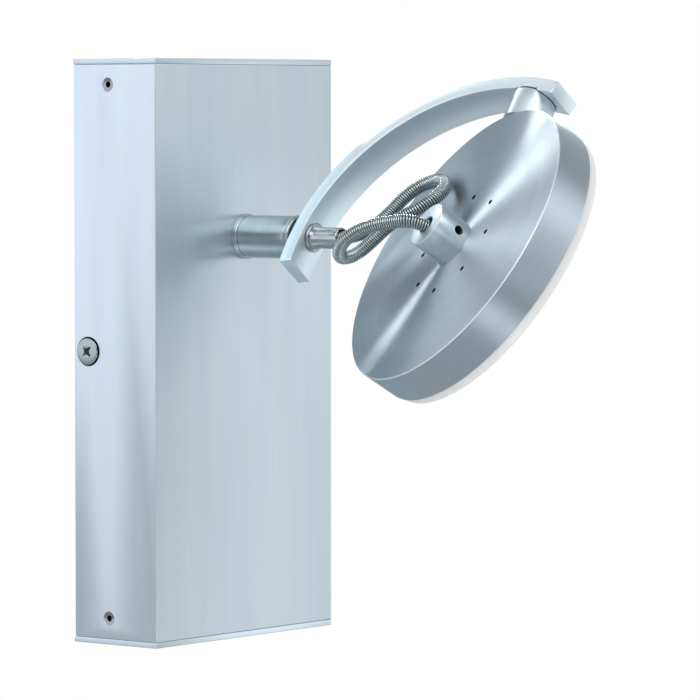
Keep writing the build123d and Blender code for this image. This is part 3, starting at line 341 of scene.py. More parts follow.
def moulded(name, code, rough, grain=0.5, depth=0.02):
    """Moulded plastic, rubber or lacquer: one colour with a fine grain, in millimetres."""
    material, tree, shader = new_material(name)
    where = add(tree, "TexCoord")["Object"]
    noise = add(tree, "TexNoise", Vector=where, Scale=1 / (grain * MM), Detail=2.0)["Fac"]
    shade = add(tree, "MapRange", Value=noise, **USED_NOISE, To_Min=0.92, To_Max=1.05)["Result"]
    multiply = {"data_type": "RGBA", "blend_type": "MULTIPLY"}
    colour = add(tree, "Mix", multiply, i0=1.0, i6=linear(code), i7=shade)[2]
    roughness = add(
        tree, "MapRange", Value=noise, **USED_NOISE, To_Min=rough * 0.9, To_Max=rough * 1.1
    )["Result"]
    bump = add(tree, "Bump", Height=noise, Strength=0.4, Distance=depth * MM)["Normal"]
    fill(tree, shader, Base_Color=colour, Roughness=roughness, Normal=bump)
    return material


def opal(name, code, grain=1.5, depth=2.5):
    """Opal acrylic with a satin face: light goes in and comes back white and even."""
    material, tree, shader = new_material(name)
    where = add(tree, "TexCoord")["Object"]
    noise = add(tree, "TexNoise", Vector=where, Scale=1 / (grain * MM), Detail=2.0)["Fac"]
    satin = add(tree, "MapRange", Value=noise, **USED_NOISE, To_Min=0.3, To_Max=0.38)["Result"]
    fill(
        tree, shader, Base_Color=linear(code), Roughness=satin, IOR=1.49,
        Subsurface_Weight=0.6, Subsurface_Radius=(1.0, 1.0, 1.0), Subsurface_Scale=depth * MM,
    )
    return material


# Brush marks and lathe rings are really 0.05 to 0.2 mm apart, too fine to show in the
# render. All of them are drawn coarser than that, at the spacing each material gives.

# Extruded aluminium, brushed along its length and clear anodised: long straight hairlines
SHEET = brushed(
    "brushed_anodised_aluminium", ("C2D1D8", "CDDBE0", "C2CDDB"),
    spacing=0.5, reach=32.0, rough=0.38, anisotropy=0.7, depth=0.025,
)
# Flat bar, brushed along the bend: finer and paler than the housing, with an even sheen
BAR = brushed(
    "brushed_aluminium_bar", ("D6E6EC", "E2F0F6", "D4E1EC"),
    spacing=0.35, reach=24.0, rough=0.42, anisotropy=0.15, depth=0.01,
)
# Aluminium dish faced on a lathe: its rings throw the light out in rays
TURNED = brushed(
    "turned_aluminium", ("AEBEC7", "C8D4DC", "B0BECB"),
    spacing=0.7, reach=30.0, rough=0.48, anisotropy=1.0, depth=0.03, turned_rings=True,
)
# The dish's broken edge, in a paler metal: a painted highlight, the fine bright line along it
EDGE_PAINTED_HIGHLIGHT = plain_metal("cut_aluminium_edge_painted_highlight", "E4EBEF", "D6DEE3", 0.5)
# Turned aluminium post and hub: smoother and shinier than the dish
SLEEVE = brushed(
    "turned_sleeve_aluminium", ("C6D3D7", "D6E1E6", "C0CDD5"),
    spacing=0.3, reach=20.0, rough=0.36, anisotropy=0.5, depth=0.006, turned_rings=True,
)
# Turned and satin anodised pivot barrel: a shade darker, with sharper highlights
BARREL = brushed(
    "satin_anodised_barrel", ("A1AFB0", "B0BABD", "9EA8B0"),
    spacing=0.3, reach=20.0, rough=0.22, anisotropy=0.8, depth=0.006, turned_rings=True,
)
# Nickel-plated brass, polished: near mirror with a slight greenish grey
NICKEL = plain_metal("polished_nickel_plate", "B0B5B5", "9FA5A5", 0.17)
# Drawn spring wire: bright, with a highlight on every turn
WIRE = plain_metal("drawn_spring_wire", "B4BFBF", "8C9899", 0.14, 0.6)
# Machined stainless steel: clean grey with soft highlights
STEEL = plain_metal("machined_stainless_steel", "C4C9CB", "A7ADB0", 0.22)
# Zinc-plated steel: a little bluish and blotchy
ZINC = plain_metal("zinc_plated_steel", "A0AAAA", "939D9E", 0.26, 0.6)
# Dark nickel plate on the cap screws: black and white reflections
DARK_NICKEL = plain_metal("dark_nickel_plate", "9BA0A4", "7D8286", 0.1, 0.5)
# Black-oxide steel for the set screw. Also painted shade: the walls of the cap screws' sockets and the
# groove round the side screws' heads get it, so that they show as dark holes
OXIDE_AND_PAINTED_SHADE = plain_metal("black_oxide_steel_and_painted_shade", "1C1E20", "141618", 0.4, 0.3)
# Turned brass: warm yellow
BRASS = plain_metal("turned_brass", "D4B26B", "BC974E", 0.28)
# Moulded nylon: black with a half-dull face. Also painted shade on the walls of the vents in the head's
# dish
NYLON_AND_PAINTED_SHADE = moulded("black_nylon", "131416", 0.5)
# Moulded rubber: black and dull
RUBBER = moulded("black_rubber", "18191A", 0.7, 0.8)
# Moulded polycarbonate: warm white with a light spark texture
CASE = moulded("white_polycarbonate_case", "D8D8D3", 0.45)
# Circuit board under green lacquer: smooth, with a slow ripple
BOARD = moulded("green_lacquered_board", "1D5A35", 0.35, 2.0)
# Sintered ferrite: dark grey and finely pitted
FERRITE = moulded("sintered_ferrite", "3A3A3D", 0.6, 0.3)
# Extruded PVC insulation of the earth lead, and of the mains leads: satin
GREEN = moulded("green_insulation", "7FA324", 0.45)
BROWN = moulded("brown_insulation", "6B4226", 0.45)
# Extruded silicone leads: milky white and satin
SILICONE = moulded("white_silicone_lead", "E2E2DE", 0.5)
# Filled silicone sheet: grey and quite dull
PAD = moulded("grey_silicone_pad", "8F959B", 0.8)
# Printed solder mask: white and smooth
MASK = moulded("white_solder_mask", "E6E6E3", 0.4, 1.5)
# Phosphor cast in silicone: yellow and glossy
PHOSPHOR = moulded("led_phosphor", "E2C34F", 0.3)
# Opal acrylic, moulded with a satin face: an even milky white that hides the LEDs
OPAL = opal("opal_acrylic", "F4F4F2")


# -------------------------------- modelling by hand
def begin(primitive, **settings):
    """Adds a primitive with nothing else selected, its place applied to its mesh."""
    bpy.ops.object.select_all(action="DESELECT")
    primitive(**settings)
    bpy.ops.object.transform_apply(location=True, rotation=True, scale=True)
    return bpy.context.object


def choose(made):
    """Selects one piece alone."""
    bpy.ops.object.select_all(action="DESELECT")
    made.select_set(True)
    bpy.context.view_layer.objects.active = made


def edit(made, mode="VERT"):
    """Opens a piece in edit mode with everything selected."""
    choose(made)
    bpy.ops.object.mode_set(mode="EDIT")
    bpy.ops.mesh.select_mode(type=mode)
    bpy.ops.mesh.select_all(action="SELECT")


def close():
    bpy.ops.object.mode_set(mode="OBJECT")


def pick_faces(made, test):
    """Selects the faces that pass a test and opens the piece in edit mode."""
    edit(made, "FACE")
    bpy.ops.mesh.select_all(action="DESELECT")
    close()
    for face in made.data.polygons:
        face.select = test(face)
    bpy.ops.object.mode_set(mode="EDIT")


def cube(x0, x1, y0, y1, z0, z1):
    """Box between two corners."""
    middle = ((x0 + x1) / 2, (y0 + y1) / 2, (z0 + z1) / 2)
    size = (abs(x1 - x0), abs(y1 - y0), abs(z1 - z0))
    return begin(bpy.ops.mesh.primitive_cube_add, size=1, location=middle, scale=size)


def turned(outline, sides=64, bored=False):
    """Turns an outline of (radius, z) points about local z, one extruded ring at a time.

    A bored piece's outline is closed by its first point; the ends of any other are faces.
    """
    points = outline + outline[:1] if bored else outline
    r, z = points[0]
    made = begin(
        bpy.ops.mesh.primitive_circle_add, vertices=sides, radius=r, location=(0, 0, z),
        fill_type="NOTHING" if bored else "NGON",
    )
    edit(made, "EDGE")
    for next_r, next_z in points[1:]:
        bpy.ops.mesh.extrude_edges_move(TRANSFORM_OT_translate={"value": (0, 0, next_z - z)})
        bpy.ops.transform.resize(value=(next_r / r, next_r / r, 1), center_override=(0, 0, next_z))
        r, z = next_r, next_z
    if not bored:
        bpy.ops.mesh.edge_face_add()
    bpy.ops.mesh.select_mode(type="VERT")
    bpy.ops.mesh.select_all(action="SELECT")
    bpy.ops.mesh.remove_doubles(threshold=0.0005)
    bpy.ops.mesh.normals_make_consistent(inside=False)
    close()
    return made


def arc(centre_r, centre_z, r, start, end, steps=4):
    """Points of a rounded corner of a turned outline; 0 degrees points away from the axis."""
    turns = [radians(start + (end - start) * i / steps) for i in range(steps + 1)]
    return [(centre_r + r * cos(a), centre_z + r * sin(a)) for a in turns]


def round_top(r, z, rounding, steps=4):
    """Rounded corner of a turned outline, from its side at radius r to its top at z."""
    return arc(r - rounding, z - rounding, rounding, 0, 90, steps)


def rod(r, z0, z1, sides=64):
    return turned([(r, z0), (r, z1)], sides)


def hexagon(flats, z0, z1, turn=0.0):
    """Hexagonal bar along local z, given its size across flats."""
    return begin(
        bpy.ops.mesh.primitive_cylinder_add, vertices=6, radius=flats / sqrt(3), depth=z1 - z0,
        location=(0, 0, (z0 + z1) / 2), rotation=(0, 0, radians(turn)),
    )


def put(made, matrix):
    """Moves a piece's mesh by a matrix, and keeps its faces pointing outwards."""
    made.data.transform(matrix)
    if matrix.to_3x3().determinant() < 0:
        made.data.flip_normals()
    return made


def apply_modifier(made, kind, **settings):
    choose(made)
    modifier = made.modifiers.new(kind, kind)
    for name, value in settings.items():
        setattr(modifier, name, value)
    bpy.ops.object.modifier_apply(modifier=modifier.name)


def cut(made, *cutters):
    """Cuts each cutter out of a piece and deletes it."""
    for cutter in cutters:
        apply_modifier(made, "BOOLEAN", operation="DIFFERENCE", object=cutter, solver="EXACT")
        bpy.data.objects.remove(cutter)


def bevel(made, width, segments=2, angle=30):
    """Rounds the edges that turn by more than an angle, in degrees."""
    apply_modifier(
        made, "BEVEL", width=width, segments=segments, limit_method="ANGLE", angle_limit=radians(angle)
    )


def join(first, *others):
    bpy.ops.object.select_all(action="DESELECT")
    for made in (first, *others):
        made.select_set(True)
    bpy.context.view_layer.objects.active = first
    bpy.ops.object.join()
    return first


def copies(made, places):
    """One piece made of copies of another at several places; the first is used up."""
    parts = []
    for place in places:
        twin = made.copy()
        twin.data = made.data.copy()
        bpy.context.collection.objects.link(twin)
        parts.append(put(twin, place))
    bpy.data.objects.remove(made)
    return join(*parts)


def brush(made, local, place):
    """Brush map in millimetres. place gives (across, along) for a corner of a face."""
    layer = made.data.uv_layers.new(name="brush")
    back = local.inverted()
    turn_back = back.to_3x3()
    for face in made.data.polygons:
        centre, normal = back @ face.center, turn_back @ face.normal
        for loop in face.loop_indices:
            corner = back @ made.data.vertices[made.data.loops[loop].vertex_index].co
            layer.data[loop].uv = place(corner, centre, normal)


def upright(corner, centre, normal):
    """Marks that run up the housing, and along the depth on its cut ends."""
    if abs(normal.z) > 0.7:
        return corner.x, corner.y
    return corner.x + corner.y, corner.z


def crosswise(corner, centre, normal):
    """Marks that run across an end cap, and along the depth at its two short ends."""
    if abs(normal.x) > 0.7:
        return corner.z, corner.y
    return corner.y + corner.z, corner.x


def rings(corner, centre, normal):
    """Marks that run round local z."""
    middle = atan2(centre.y, centre.x)
    turn = atan2(corner.y, corner.x)
    turn += tau * round((middle - turn) / tau)
    return hypot(corner.x, corner.y) - corner.z, turn * ROUND


def along_bow(corner, centre, normal):
    """Marks that run along the bow's bend."""
    y, z = corner.y + BOW_DROP, corner.z - BOW_CENTRE
    return corner.x + hypot(y, z), atan2(y, -z) * (BOW_INNER_R + BOW_THICKNESS / 2)


def dress(name, made, body, material, node, smooth=35):
    """Names a piece, brings it to metres, gives it its finish, and sets it on its body."""
    choose(made)
    bpy.ops.object.shade_smooth_by_angle(angle=radians(smooth))
    made.name = made.data.name = name
    put(made, Matrix.Scale(MM, 4))
    made.data.materials.clear()
    made.data.materials.append(material)
    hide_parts(node)
    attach(made, body)


def from_axis(face):
    """How far the middle of a face is from local z."""
    return hypot(face.center.x, face.center.y)


def numbers(made, test):
    """Numbers of the faces that pass a test."""
    return [face.index for face in made.data.polygons if test(face)]


def in_copies(found, count, places):
    """Face numbers found on one piece of count faces, on each of its copies."""
    return [number + count * i for i in range(len(places)) for number in found]


def paint(made, found, material):
    """Gives some faces of a dressed piece another finish."""
    made.data.materials.append(material)
    for number in found:
        made.data.polygons[number].material_index = len(made.data.materials) - 1


# -------------------------------- housing
def countersink(head_r, hole_r):
    """Cutter for a countersunk hole in a face at local z = 0."""
    return turned([(head_r + PAST, PAST), (hole_r, hole_r - head_r), (hole_r, -3 * HOUSING_WALL)])


def housing_cover():
    """Extruded cover, open at the back and the ends, with its screw and pivot holes."""
    cover = cube(-HALF_W, HALF_W, -HOUSING_DEPTH, -REAR_STEP, -COVER_TOP, COVER_TOP)
    pick_faces(cover, lambda face: face.normal.y > 0.5 or abs(face.normal.z) > 0.5)
    bpy.ops.mesh.delete(type="FACE")
    close()
    apply_modifier(cover, "SOLIDIFY", thickness=HOUSING_WALL, offset=-1, use_even_offset=True)
    bevel(cover, EDGE, segments=3)
    cut(cover, put(rod(SPIGOT_R + SEAT, HOUSING_DEPTH - 2 * HOUSING_WALL, HOUSING_DEPTH + PAST), PIVOT))
    for place in CAP_SCREW_PLACES:
        cut(cover, put(countersink(CAP_SCREW_HEAD_R + SEAT, CAP_SCREW_R + SEAT), place))
    for place in SIDE_SCREW_PLACES:
        cut(cover, put(countersink(SIDE_SCREW_HEAD_R + SEAT, SIDE_SCREW_R + SEAT), place))
    brush(cover, ROW, upright)
    dress("housing_cover", cover, "base", SHEET, "housing_shell")


def end_cap(name, node, turn):
    """End plate with the two tabs that its screws go into."""
    plate = cube(-HALF_W, HALF_W, -HOUSING_DEPTH, 0, COVER_TOP, HALF_H)
    bevel(plate, CAP_EDGE, segments=3)
    inner = HALF_W - HOUSING_WALL - SEAT
    near = -CAP_SCREW_FROM_WALL + TAB_DEPTH / 2
    for side in (1, -1):
        tab = cube(
            side * (inner - TAB_THICKNESS), side * inner, near - TAB_DEPTH, near,
            COVER_TOP - TAB_HEIGHT, COVER_TOP + CAP_THICKNESS / 2,
        )
        bevel(tab, EDGE)
        screw_place = on_side(CAP_SCREW_FROM_WALL, CAP_SCREW_Z, side)
        cut(tab, put(rod(CAP_SCREW_R + SEAT, -2 * TAB_THICKNESS, PAST), screw_place))
        join(plate, tab)
    put(plate, turn)
    brush(plate, ROW, crosswise)
    dress(name, plate, "base", SHEET, node)


def cap_screws():
    """Countersunk screws with a slightly dished head and a hexagon socket."""
    head, shank = CAP_SCREW_HEAD_R - SEAT, CAP_SCREW_R
    outline = [(shank, -CAP_SCREW_LENGTH), (shank, shank - head)]
    outline += [(head, -0.1), (head - 0.06, -0.05), (head - 0.3, -0.08)]  # narrow rim
    outline += [(1.7, -0.35), (1.45, -0.4)]  # dished face
    screw = turned(outline)
    cut(screw, hexagon(CAP_SOCKET, -CAP_SOCKET_DEPTH, PAST, CAP_SOCKET_TURN))
    bevel(screw, 0.05, angle=40)
    socket_r = CAP_SOCKET / sqrt(3) + SEAT
    under = -2 * CAP_SOCKET_DEPTH  # below the socket's floor, and above the screw's end
    # faces inside the socket, which get the black material as painted shade
    socket = numbers(screw, lambda face: from_axis(face) < socket_r and under < face.center.z < -0.5)
    count = len(screw.data.polygons)
    made = copies(screw, CAP_SCREW_PLACES)
    dress("cap_socket_screws", made, "base", DARK_NICKEL, "cap_screws")
    # painted shade: the socket's walls are coloured black for the shade down in the recess
    paint(made, in_copies(socket, count, CAP_SCREW_PLACES), OXIDE_AND_PAINTED_SHADE)


def side_screws():
    """Raised countersunk screws with a cross recess whose wings narrow to its bottom."""
    head, shank = SIDE_SCREW_HEAD_R - SEAT, SIDE_SCREW_R - SEAT
    outline = [(shank, -SIDE_SCREW_LENGTH), (shank, shank - head)]
    outline += [(head - 0.75, -0.75), (head - 0.5, -0.6)]  # groove between the head and the cover
    outline += arc(head - 1.05, 0.35, 0.6, -10, 75, 6)
    outline += [(4.2, 1.03), (2.9, 1.14), (1.2, 1.19)]  # low dome
    screw = turned(outline)
    for turn in (45, 135):
        wing = cube(
            -CROSS_REACH, CROSS_REACH, -CROSS_HALF_WIDTH, CROSS_HALF_WIDTH, -CROSS_DEPTH, 2 * PAST
        )
        pick_faces(wing, lambda face: face.normal.z < -0.5)
        bpy.ops.transform.resize(value=CROSS_NARROWING, center_override=(0, 0, -CROSS_DEPTH))
        close()
        cut(screw, put(wing, Matrix.Rotation(radians(turn), 4, "Z")))
    cut(screw, turned([(1.5, 2), (1.5, 1), (0.9, -1.4), (0.3, -2.2)], 24))  # middle of the recess
    bevel(screw, 0.07, angle=40)
    # painted shade: the head's outer wall and the groove round it, coloured black for the shade between
    # the head and the cover
    shaded_groove = numbers(
        screw,
        lambda face: face.normal.z < 0.5 and from_axis(face) > head - 1.2 and face.center.z > -1,
    )
    count = len(screw.data.polygons)
    made = copies(screw, SIDE_SCREW_PLACES)
    dress("side_cross_screws", made, "base", ZINC, "side_screws")
    # the groove's faces get the black material as painted shade
    paint(made, in_copies(shaded_groove, count, SIDE_SCREW_PLACES), OXIDE_AND_PAINTED_SHADE)


# -------------------------------- pivot
def barrel_piece(name, outline, node):
    made = turned(outline, 128, bored=True)
    brush(made, ROW, rings)
    dress(name, put(made, PIVOT), "base", BARREL, node)


def barrel_flange():
    """Ring with a round front edge, flat against the housing."""
    hole = SPIGOT_R + SEAT
    foot = 0.15
    outline = [(hole, HOUSING_DEPTH), (FLANGE_R - 0.1, HOUSING_DEPTH), (FLANGE_R, HOUSING_DEPTH + foot)]
    outline += round_top(FLANGE_R, FLANGE_TO, 0.7, 6) + [(BARREL_R - 0.4, FLANGE_TO)]
    outline += [(hole, FLANGE_TO)]
    barrel_piece("barrel_flange_ring", outline, "barrel_flange")


def barrel_sleeve():
    """Sleeve with the spigot that goes through the wall, and a fine groove at each end."""
    bore = BOLT_R + SEAT
    chamfer = 0.3
    gap = 0.02  # to the rings
    low, high = FLANGE_TO + gap, BARREL_TO - gap
    outline = [(bore, SPIGOT_FROM), (SPIGOT_R - chamfer, SPIGOT_FROM), (SPIGOT_R, SPIGOT_FROM + chamfer)]
    outline += [(SPIGOT_R, low), (BARREL_R - 0.5, low)]
    outline += arc(BARREL_R - 0.3, FLANGE_TO + 0.35, 0.3, -90, 0)
    outline += [(BARREL_R, FLANGE_TO + (BARREL_TO - FLANGE_TO) * i / 6) for i in range(1, 6)]
    outline += round_top(BARREL_R, BARREL_TO, 0.35)
    outline += [(SPIGOT_R, high), (SPIGOT_R, COLLAR_TO), (bore, COLLAR_TO)]
    barrel_piece("barrel_sleeve", outline, "barrel")


def barrel_collar():
    """Ring with two round edges at the outer end of the sleeve."""
    hole = SPIGOT_R + SEAT
    lower_round = 0.55
    outline = [(hole, BARREL_TO), (BARREL_R - 0.4, BARREL_TO)]
    outline += arc(COLLAR_R - lower_round, BARREL_TO + lower_round, lower_round, -80, 0, 5)
    outline += round_top(COLLAR_R, COLLAR_TO, 0.6, 5) + [(hole, COLLAR_TO)]
    barrel_piece("barrel_collar_ring", outline, "barrel_collar")


def hollow_bolt():
    """Flanged bolt with the tapered nose that guides the conduit."""
    chamfer = 0.4
    lower_round = 0.45
    lip = (NOSE_R - NOSE_BORE_R) / 2
    flare_to = NOSE_FROM + FLARE_LENGTH
    outline = [(BOLT_BORE_R, BOLT_FROM), (BOLT_R - chamfer, BOLT_FROM), (BOLT_R, BOLT_FROM + chamfer)]
    outline += [(BOLT_R, BOLT_SEAT)]
    outline += arc(BOLT_FLANGE_R - lower_round, BOLT_SEAT + lower_round, lower_round, -90, 0, 5)
    outline += round_top(BOLT_FLANGE_R, NOSE_FROM, 0.6, 6)
    outline += [(NOSE_ROOT_R + 0.12, NOSE_FROM), (NOSE_ROOT_R, NOSE_FROM + 0.15)]
    outline += [(NOSE_ROOT_R - 0.22, NOSE_FROM + 1.2), (NOSE_R + 0.07, NOSE_FROM + 2.5)]  # flare
    outline += [(NOSE_R, flare_to), (NOSE_R, (flare_to + NOSE_TO) / 2)]
    outline += arc(NOSE_R - lip, NOSE_TO - lip, lip, 0, 180, 8)
    outline += [(NOSE_BORE_R, CONDUIT_FROM), (BOLT_BORE_R, CONDUIT_FROM)]
    made = turned(outline, 128, bored=True)
    brush(made, ROW, rings)
    put(made, PIVOT)
    dress("hollow_bolt_body", made, "arm", NICKEL, "hollow_bolt", smooth=50)


# -------------------------------- bow arm
def bow_arm():
    """Flat bar spun round the bow's centre, broken at its edges and drilled for both pivots."""
    half = BOW_WIDTH / 2
    bar = cube(-half, half, -0.5, 0.5, -BOW_OUTER_R, -BOW_INNER_R)
    pick_faces(bar, lambda face: face.normal.y < 0.5)
    bpy.ops.mesh.delete(type="FACE")  # the face that stays is spun
    bpy.ops.mesh.select_all(action="SELECT")
    bpy.ops.transform.translate(value=(0, -0.5, 0))
    close()
    put(bar, Matrix.Rotation(radians(-BOW_LOWER_OVERRUN), 4, "X"))
    edit(bar)
    sweep = 90 + BOW_LOWER_OVERRUN + BOW_UPPER_OVERRUN
    bpy.ops.mesh.spin(steps=BOW_STEPS, angle=radians(sweep), center=(0, 0, 0), axis=(-1, 0, 0))
    bpy.ops.mesh.select_all(action="SELECT")
    bpy.ops.mesh.remove_doubles(threshold=0.001)
    bpy.ops.mesh.normals_make_consistent(inside=False)
    close()
    bevel(bar, BOW_EDGE)
    put(bar, ARM @ Matrix.Translation((0, -BOW_DROP, BOW_CENTRE)))
    cut(
        bar,
        put(rod(BOLT_R + SEAT, BOLT_SEAT - 2 * BOW_THICKNESS, BOW_CENTRE), PIVOT),
        put(rod(BOLT_FLANGE_R + EDGE, BOLT_SEAT, BOW_CENTRE), PIVOT),
        put(rod(POST_R + EDGE, POST_TOP / 2, TILT_SEAT), POST),
        put(rod(TILT_SCREW_R + SEAT, POST_TOP / 2, BOW_OUTER_R), POST),
        put(rod(TILT_POCKET_R, TILT_POCKET_FLOOR, BOW_OUTER_R + PAST), POST),
    )
    brush(bar, ARM, along_bow)
    dress("bow_bar", bar, "arm", BAR, "arm_bow", smooth=30)


def tilt_washer():
    """Black washer between the post and the bow."""
    hole = TILT_SCREW_R + SEAT
    low = POST_TOP + RUNNING
    outline = [(hole, low), (TILT_WASHER_R - 0.15, low), (TILT_WASHER_R, low + 0.15)]
    outline += [(TILT_WASHER_R, TILT_SEAT - 0.1), (TILT_WASHER_R - 0.1, TILT_SEAT), (hole, TILT_SEAT)]
    washer = turned(outline, 96, bored=True)
    dress("tilt_washer_ring", put(washer, POST), "arm", NYLON_AND_PAINTED_SHADE, "tilt_washer")


def tilt_screw():
    """Low socket screw in the pocket outside the bow."""
    top = TILT_HEAD_Z + TILT_SCREW_HEAD
    chamfer = 0.15
    outline = [(TILT_SCREW_R, TILT_HEAD_Z - TILT_SCREW_LENGTH), (TILT_SCREW_R, TILT_HEAD_Z)]
    outline += [(TILT_SCREW_HEAD_R - chamfer, TILT_HEAD_Z), (TILT_SCREW_HEAD_R, TILT_HEAD_Z + chamfer)]
    outline += round_top(TILT_SCREW_HEAD_R, top, 0.6, 5) + [(TILT_SCREW_R, top)]
    screw = turned(outline)
    cut(screw, hexagon(TILT_SOCKET, TILT_HEAD_Z + TILT_SOCKET_FLOOR, top + PAST))
    bevel(screw, 0.06, angle=50)
    dress("tilt_socket_screw", put(screw, POST), "head", STEEL, "tilt_screw")


# -------------------------------- lamp head
def in_a_vent(face):
    """Whether a face is part of a vent's wall."""
    centres = [place.translation for place in VENT_PLACES]
    flat = Vector((face.center.x, face.center.y, 0))
    return abs(face.normal.z) < 0.5 and any((flat - c).length < VENT_R + SEAT for c in centres)


def on_broken_edge(face):
    """Whether a face is on the broken edge between the dish's back and its rim."""
    return face.center.z > 0 and from_axis(face) > HEAD_R - DISH_EDGE and 0.3 < face.normal.z < 0.95


def head_dish():
    """Turned dish: rim, flat back, hub hole and vents."""
    inner_r, inner_z = HEAD_R - RIM_WALL, BACK_Z - BACK_THICKNESS
    hole = HUB_SPIGOT_R + SEAT
    bands = (HUB_R, 15.0, *VENT_BAND, 34.0, 42.0, 50.0, 58.0)  # keep the brush map even
    outline = [(hole, inner_z), (hole, BACK_Z)] + [(r, BACK_Z) for r in bands]
    outline += [(HEAD_R - DISH_EDGE, BACK_Z), (HEAD_R, BACK_Z - DISH_EDGE)]
    outline += [(HEAD_R, BACK_Z / 2), (HEAD_R, 0), (HEAD_R, -BACK_Z / 2)]
    outline += [(HEAD_R, EDGE - BACK_Z), (HEAD_R - EDGE, -BACK_Z), (inner_r + EDGE, -BACK_Z)]
    outline += [(inner_r, EDGE - BACK_Z), (inner_r, inner_z)]
    outline += [(r, inner_z) for r in reversed(VENT_BAND)]
    dish = turned(outline, 256, bored=True)
    for place in VENT_PLACES:
        cut(dish, put(rod(VENT_R, 0, BACK_Z + PAST, 32), place))
    vents = numbers(dish, in_a_vent)
    edge = numbers(dish, on_broken_edge)
    put(dish, HEAD)
    brush(dish, HEAD, rings)
    dress("head_dish", dish, "head", TURNED, "head_shell", smooth=25)
    # painted shade: the vent walls are coloured black for the shade inside the holes
    paint(dish, vents, NYLON_AND_PAINTED_SHADE)
    # painted highlight: the broken edge between the back and the rim gets the paler metal as a fine
    # bright line
    paint(dish, edge, EDGE_PAINTED_HIGHLIGHT)


def head_hub():
    """Round hub whose bore takes the conduit, with the set screw's hole in its side."""
    spigot_z = BACK_Z - HUB_SPIGOT_LENGTH
    foot, mouth = 0.15, 0.4
    outline = [(HUB_WIRE_R, spigot_z), (HUB_SPIGOT_R, spigot_z), (HUB_SPIGOT_R, BACK_Z)]
    outline += [(HUB_R - foot, BACK_Z), (HUB_R, BACK_Z + foot), (HUB_R, HUB_FLOOR_Z + 5)]
    outline += round_top(HUB_R, HUB_TOP_Z, 0.35)
    outline += [(HUB_BORE_R + 2, HUB_TOP_Z), (HUB_BORE_R + mouth, HUB_TOP_Z)]
    outline += [(HUB_BORE_R, HUB_TOP_Z - mouth), (HUB_BORE_R, HUB_FLOOR_Z), (HUB_WIRE_R, HUB_FLOOR_Z)]
    made = turned(outline, 128, bored=True)
    hole = rod(SET_SCREW_R + SEAT, HUB_BORE_R - PAST, HUB_R + PAST, 48)
    put(hole, Matrix.Rotation(pi / 2, 4, "Y"))
    put(hole, Matrix.Rotation(radians(SET_SCREW_TURN), 4, "Z"))
    cut(made, put(hole, Matrix.Translation((0, 0, BACK_Z + SET_SCREW_HEIGHT))))
    brush(made, ROW, rings)
    dress("head_hub", put(made, HEAD), "head", SLEEVE, "hub")


def head_post():
    """Round post whose foot is hollowed to the rim."""
    outline = [(POST_R, HEAD_R + height) for height in (-4, 4, 8)]
    outline += round_top(POST_R, POST_TOP, 0.2, 3) + [(POST_R - 3, POST_TOP)]
    made = turned(outline, 128)
    brush(made, ROW, rings)
    put(made, POST)
    cut(made, put(rod(HEAD_R + SEAT, -2 * POST_R, 2 * POST_R, 512), HEAD))
    dress("head_post", made, "head", SLEEVE, "post")


def light_cover():
    """Opal cover: a flange in front of the rim and a skirt that plugs into it."""
    front = -BACK_Z - DIFFUSER_PROUD
    flange_r = HEAD_R - DIFFUSER_INSET
    skirt = HEAD_R - RIM_WALL - 2 * SEAT
    inner = skirt - DIFFUSER_WALL
    rest = -BACK_Z - SEAT
    top = -BACK_Z + DIFFUSER_SKIRT
    middle_r = 20.0
    chamfer = 0.3
    outline = [(middle_r, front + DIFFUSER_WALL), (inner, front + DIFFUSER_WALL), (inner, top)]
    outline += [(skirt, top), (skirt, rest), (flange_r - chamfer, rest), (flange_r, rest - chamfer)]
    outline += arc(flange_r - DIFFUSER_ROUND, front + DIFFUSER_ROUND, DIFFUSER_ROUND, 0, -90, 6)
    outline += [(50.0, front), (middle_r, front)]
    made = turned(outline, 192)
    dress("opal_light_cover", put(made, HEAD), "head", OPAL, "diffuser")


# -------------------------------- conduit
CONDUIT_ROUTE = [  # control points in metres, from the floor of the nose's bore to the hub's
    (0.0, -0.0925, 0.0485), (0.0, -0.106, 0.0485),
    (0.0065, -0.1155, 0.056), (0.012, -0.1265, 0.069), (0.017, -0.1355, 0.0735),
    (0.0125, -0.1445, 0.073), (0.005, -0.149, 0.069), (-0.0045, -0.146, 0.063),
    (-0.0095, -0.1335, 0.0565), (-0.0105, -0.1225, 0.0475), (-0.0122, -0.116, 0.042),
    (-0.0195, -0.1142, 0.0406), (-0.027, -0.1178, 0.0436), (-0.031, -0.124, 0.049),
    (-0.03, -0.133, 0.054), (-0.0275, -0.1432, 0.0565),
    tuple((HEAD_CENTRE + HEAD_BACK * (HUB_TOP_Z + 3.5)) * MM),
    tuple((HEAD_CENTRE + HEAD_BACK * HUB_FLOOR_Z) * MM),
]


def route_line(route):
    """Points along one smooth NURBS line through the route, in metres."""
    curve = bpy.data.curves.new("conduit_line", "CURVE")
    curve.dimensions = "3D"
    curve.resolution_u = 24
    spline = curve.splines.new("NURBS")
    spline.points.add(len(route) - 1)
    for point, place in zip(spline.points, route):
        point.co = (*place, 1)
    spline.order_u = 3
    spline.use_endpoint_u = True
    holder = bpy.data.objects.new("conduit_line", curve)
    bpy.context.collection.objects.link(holder)
    mesh = bpy.data.meshes.new_from_object(holder)
    line = [vertex.co.copy() for vertex in mesh.vertices]
    bpy.data.objects.remove(holder)
    bpy.data.meshes.remove(mesh)
    return line


def lengths_along(line):
    """Distance of each point of a line from its start."""
    lengths = [0.0]
    for a, b in zip(line, line[1:]):
        lengths.append(lengths[-1] + (b - a).length)
    return lengths


